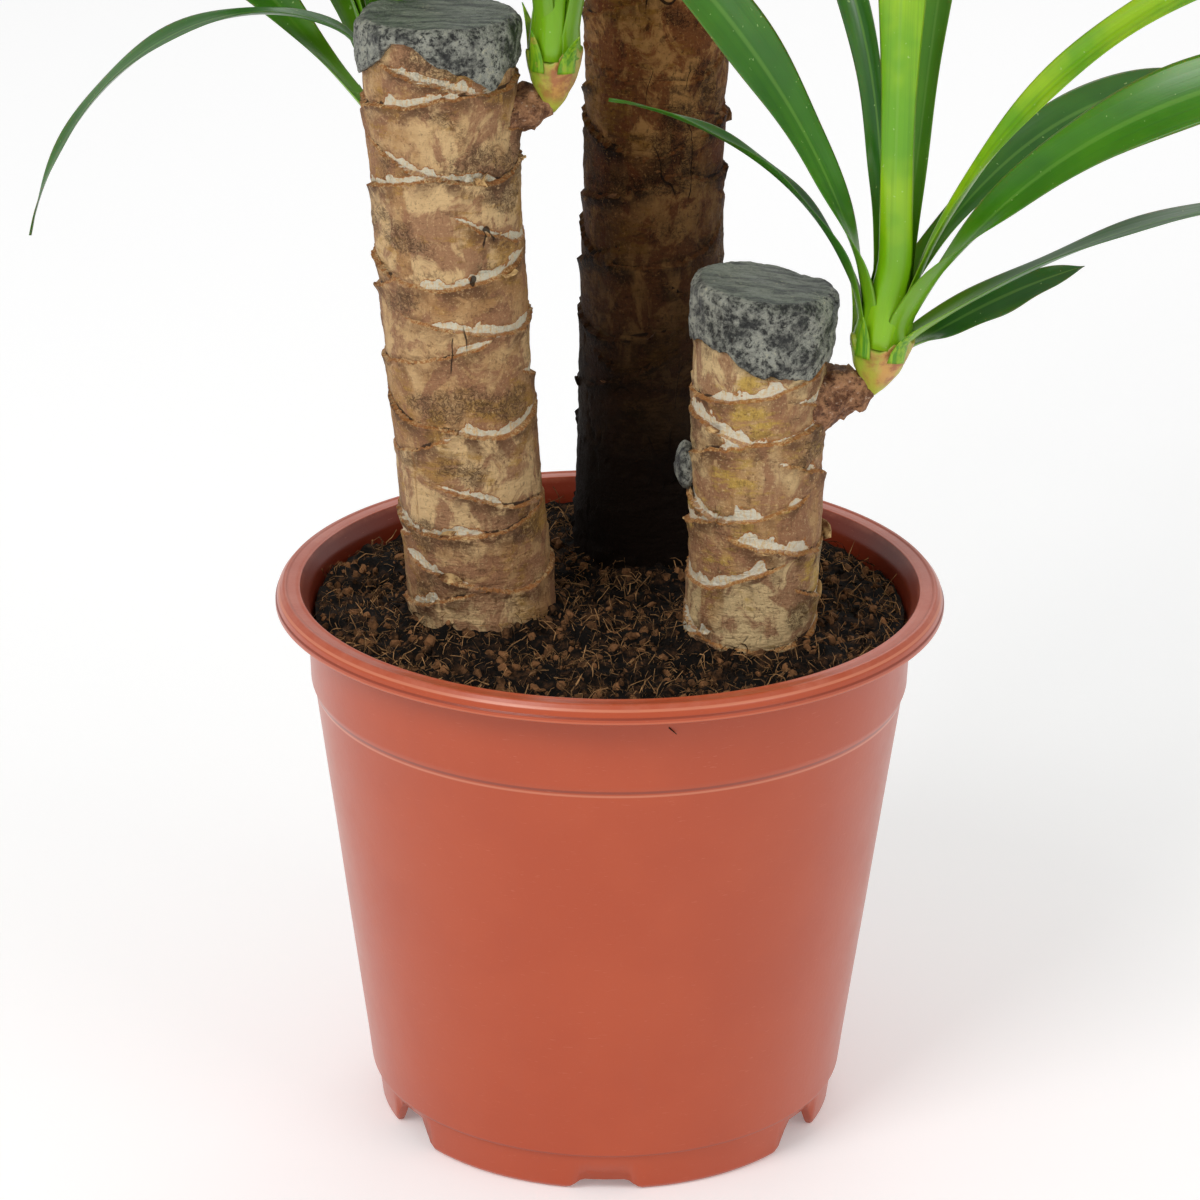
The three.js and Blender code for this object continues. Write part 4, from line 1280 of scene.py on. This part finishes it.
def litterTree(title, single):
    # scatters one small piece over the open soil; single builds that piece in the tree
    g = treeNamed(
        title,
        {
            "Density": "Float", "Smallest": "Float", "Largest": "Float", "Seed": "Int", "Lift": "Float",
            "Finish": "Material"
        }
    )
    bare = g.node("GeometryNodeInputNamedAttribute", {"data_type": "FLOAT"}, {"Name": "open"})
    points = g.node("GeometryNodeDistributePointsOnFaces", None, {
        "Mesh": g.given["Geometry"], "Density": g.given["Density"] * bare, "Seed": g.given["Seed"],
    })
    size = g.node("FunctionNodeRandomValue", {"data_type": "FLOAT"}, {2: 0.0, 3: 1.0, "Seed": 3}, 1)
    size = g.given["Smallest"] + (g.given["Largest"] - g.given["Smallest"]) * size ** 2.4
    turn = g.node(
        "FunctionNodeRandomValue", {"data_type": "FLOAT_VECTOR"},
        {0: (0, 0, 0), 1: (6.28, 6.28, 6.28), "Seed": 5}, 0
    )
    placed = g.node("GeometryNodeInstanceOnPoints", None, {
        "Points": points, "Instance": single(g), "Rotation": turn, "Scale": g.node(
            "ShaderNodeCombineXYZ", None, {0: size, 1: size, 2: size}
        ),
    })
    luck = g.node("FunctionNodeRandomValue", {"data_type": "FLOAT"}, {2: 0.0, 3: 1.0, "Seed": 9}, 1)
    placed = g.node("GeometryNodeStoreNamedAttribute", {"data_type": "FLOAT", "domain": "INSTANCE"}, {
        "Geometry": placed, "Name": "luck", "Value": luck,
    })
    whole = g.node("GeometryNodeRealizeInstances", None, {"Geometry": placed})
    here = g.node("GeometryNodeInputPosition")
    warp = g.node("ShaderNodeTexNoise", None, {"Vector": here, "Scale": 420.0, "Detail": 1.0}, 1)
    shift = (warp - (0.5, 0.5, 0.5)) * g.given["Lift"]
    whole = g.node("GeometryNodeSetPosition", None, {"Geometry": whole, "Offset": shift})
    whole = g.node("GeometryNodeSetShadeSmooth", None, {"Geometry": whole, "Shade Smooth": title == "fibres"})
    return closeTree(g, whole)


def crumbPiece(g):
    lump = g.node("GeometryNodeMeshCube", None, {"Size": (1.0, 0.8, 0.6)})
    lump = g.node("GeometryNodeSubdivisionSurface", None, {"Mesh": lump, "Level": 1})
    return lump


def fibrePiece(g):
    arc = g.node("GeometryNodeCurveQuadraticBezier", None, {
        "Resolution": 5, "Start": (-0.5, 0.0, 0.0), "Middle": (0.1, 0.75, 0.3), "End": (0.45, -0.2, 0.0),
    })
    thread = g.node("GeometryNodeCurvePrimitiveCircle", None, {"Resolution": 3, "Radius": 0.013})
    return g.node("GeometryNodeCurveToMesh", None, {"Curve": arc, "Profile Curve": thread, "Fill Caps": True})


def soilFinish(name, dark, light, size):
    f = Finish(name, {"Specular IOR Level": 0.2})
    luck = f.mark("luck")
    tone = (f.noise(size, 4, 0.7) * 0.9 + luck * 0.3).between(0.42, 0.85)
    f.feed("Base Color", f.mix(dark, light, tone))
    f.feed("Roughness", tone.between(0, 1, 0.95, 0.85))
    f.bump(f.noise(size * 0.3, 4, 0.75), 0.8, 0.0012)
    return f.material


earth = soilFinish("dark potting mix", paint(9, 5, 3), paint(112, 76, 48), 0.006)
crumbLook = soilFinish("peat crumbs", paint(12, 7, 4), paint(142, 98, 62), 0.007)
fibreLook = soilFinish("coir fibres", paint(34, 20, 11), paint(204, 154, 102), 0.008)
ground = soilMesh()
crumbs = grow("soil_crumbs", ground.copy(), litterTree("crumbs", crumbPiece), {
    "Density": float(soil["crumbs"]), "Smallest": 0.001, "Largest": 0.0062, "Seed": soil["seed"],
    "Lift": 0.003, "Finish": crumbLook,
})
fibres = grow("soil_fibres", ground.copy(), litterTree("fibres", fibrePiece), {
    "Density": float(soil["fibres"]), "Smallest": 0.0035, "Largest": 0.0135, "Seed": soil["seed"] + 1,
    "Lift": 0.004, "Finish": fibreLook,
})
addPiece("soil_plug", ground, earth, "soil", "soil")
addPiece("soil_crumbs", crumbs, crumbLook, "soil")
addPiece("soil_fibres", fibres, fibreLook, "soil")
report("soil")

total = 0
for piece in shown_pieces():
    piece.data.calc_loop_triangles()
    count = len(piece.data.loop_triangles)
    total += count
    if count > 60000:
        print("yucca:", piece.name, count, "triangles")
print("yucca:", total, "triangles in all")

bpy.context.view_layer.update()
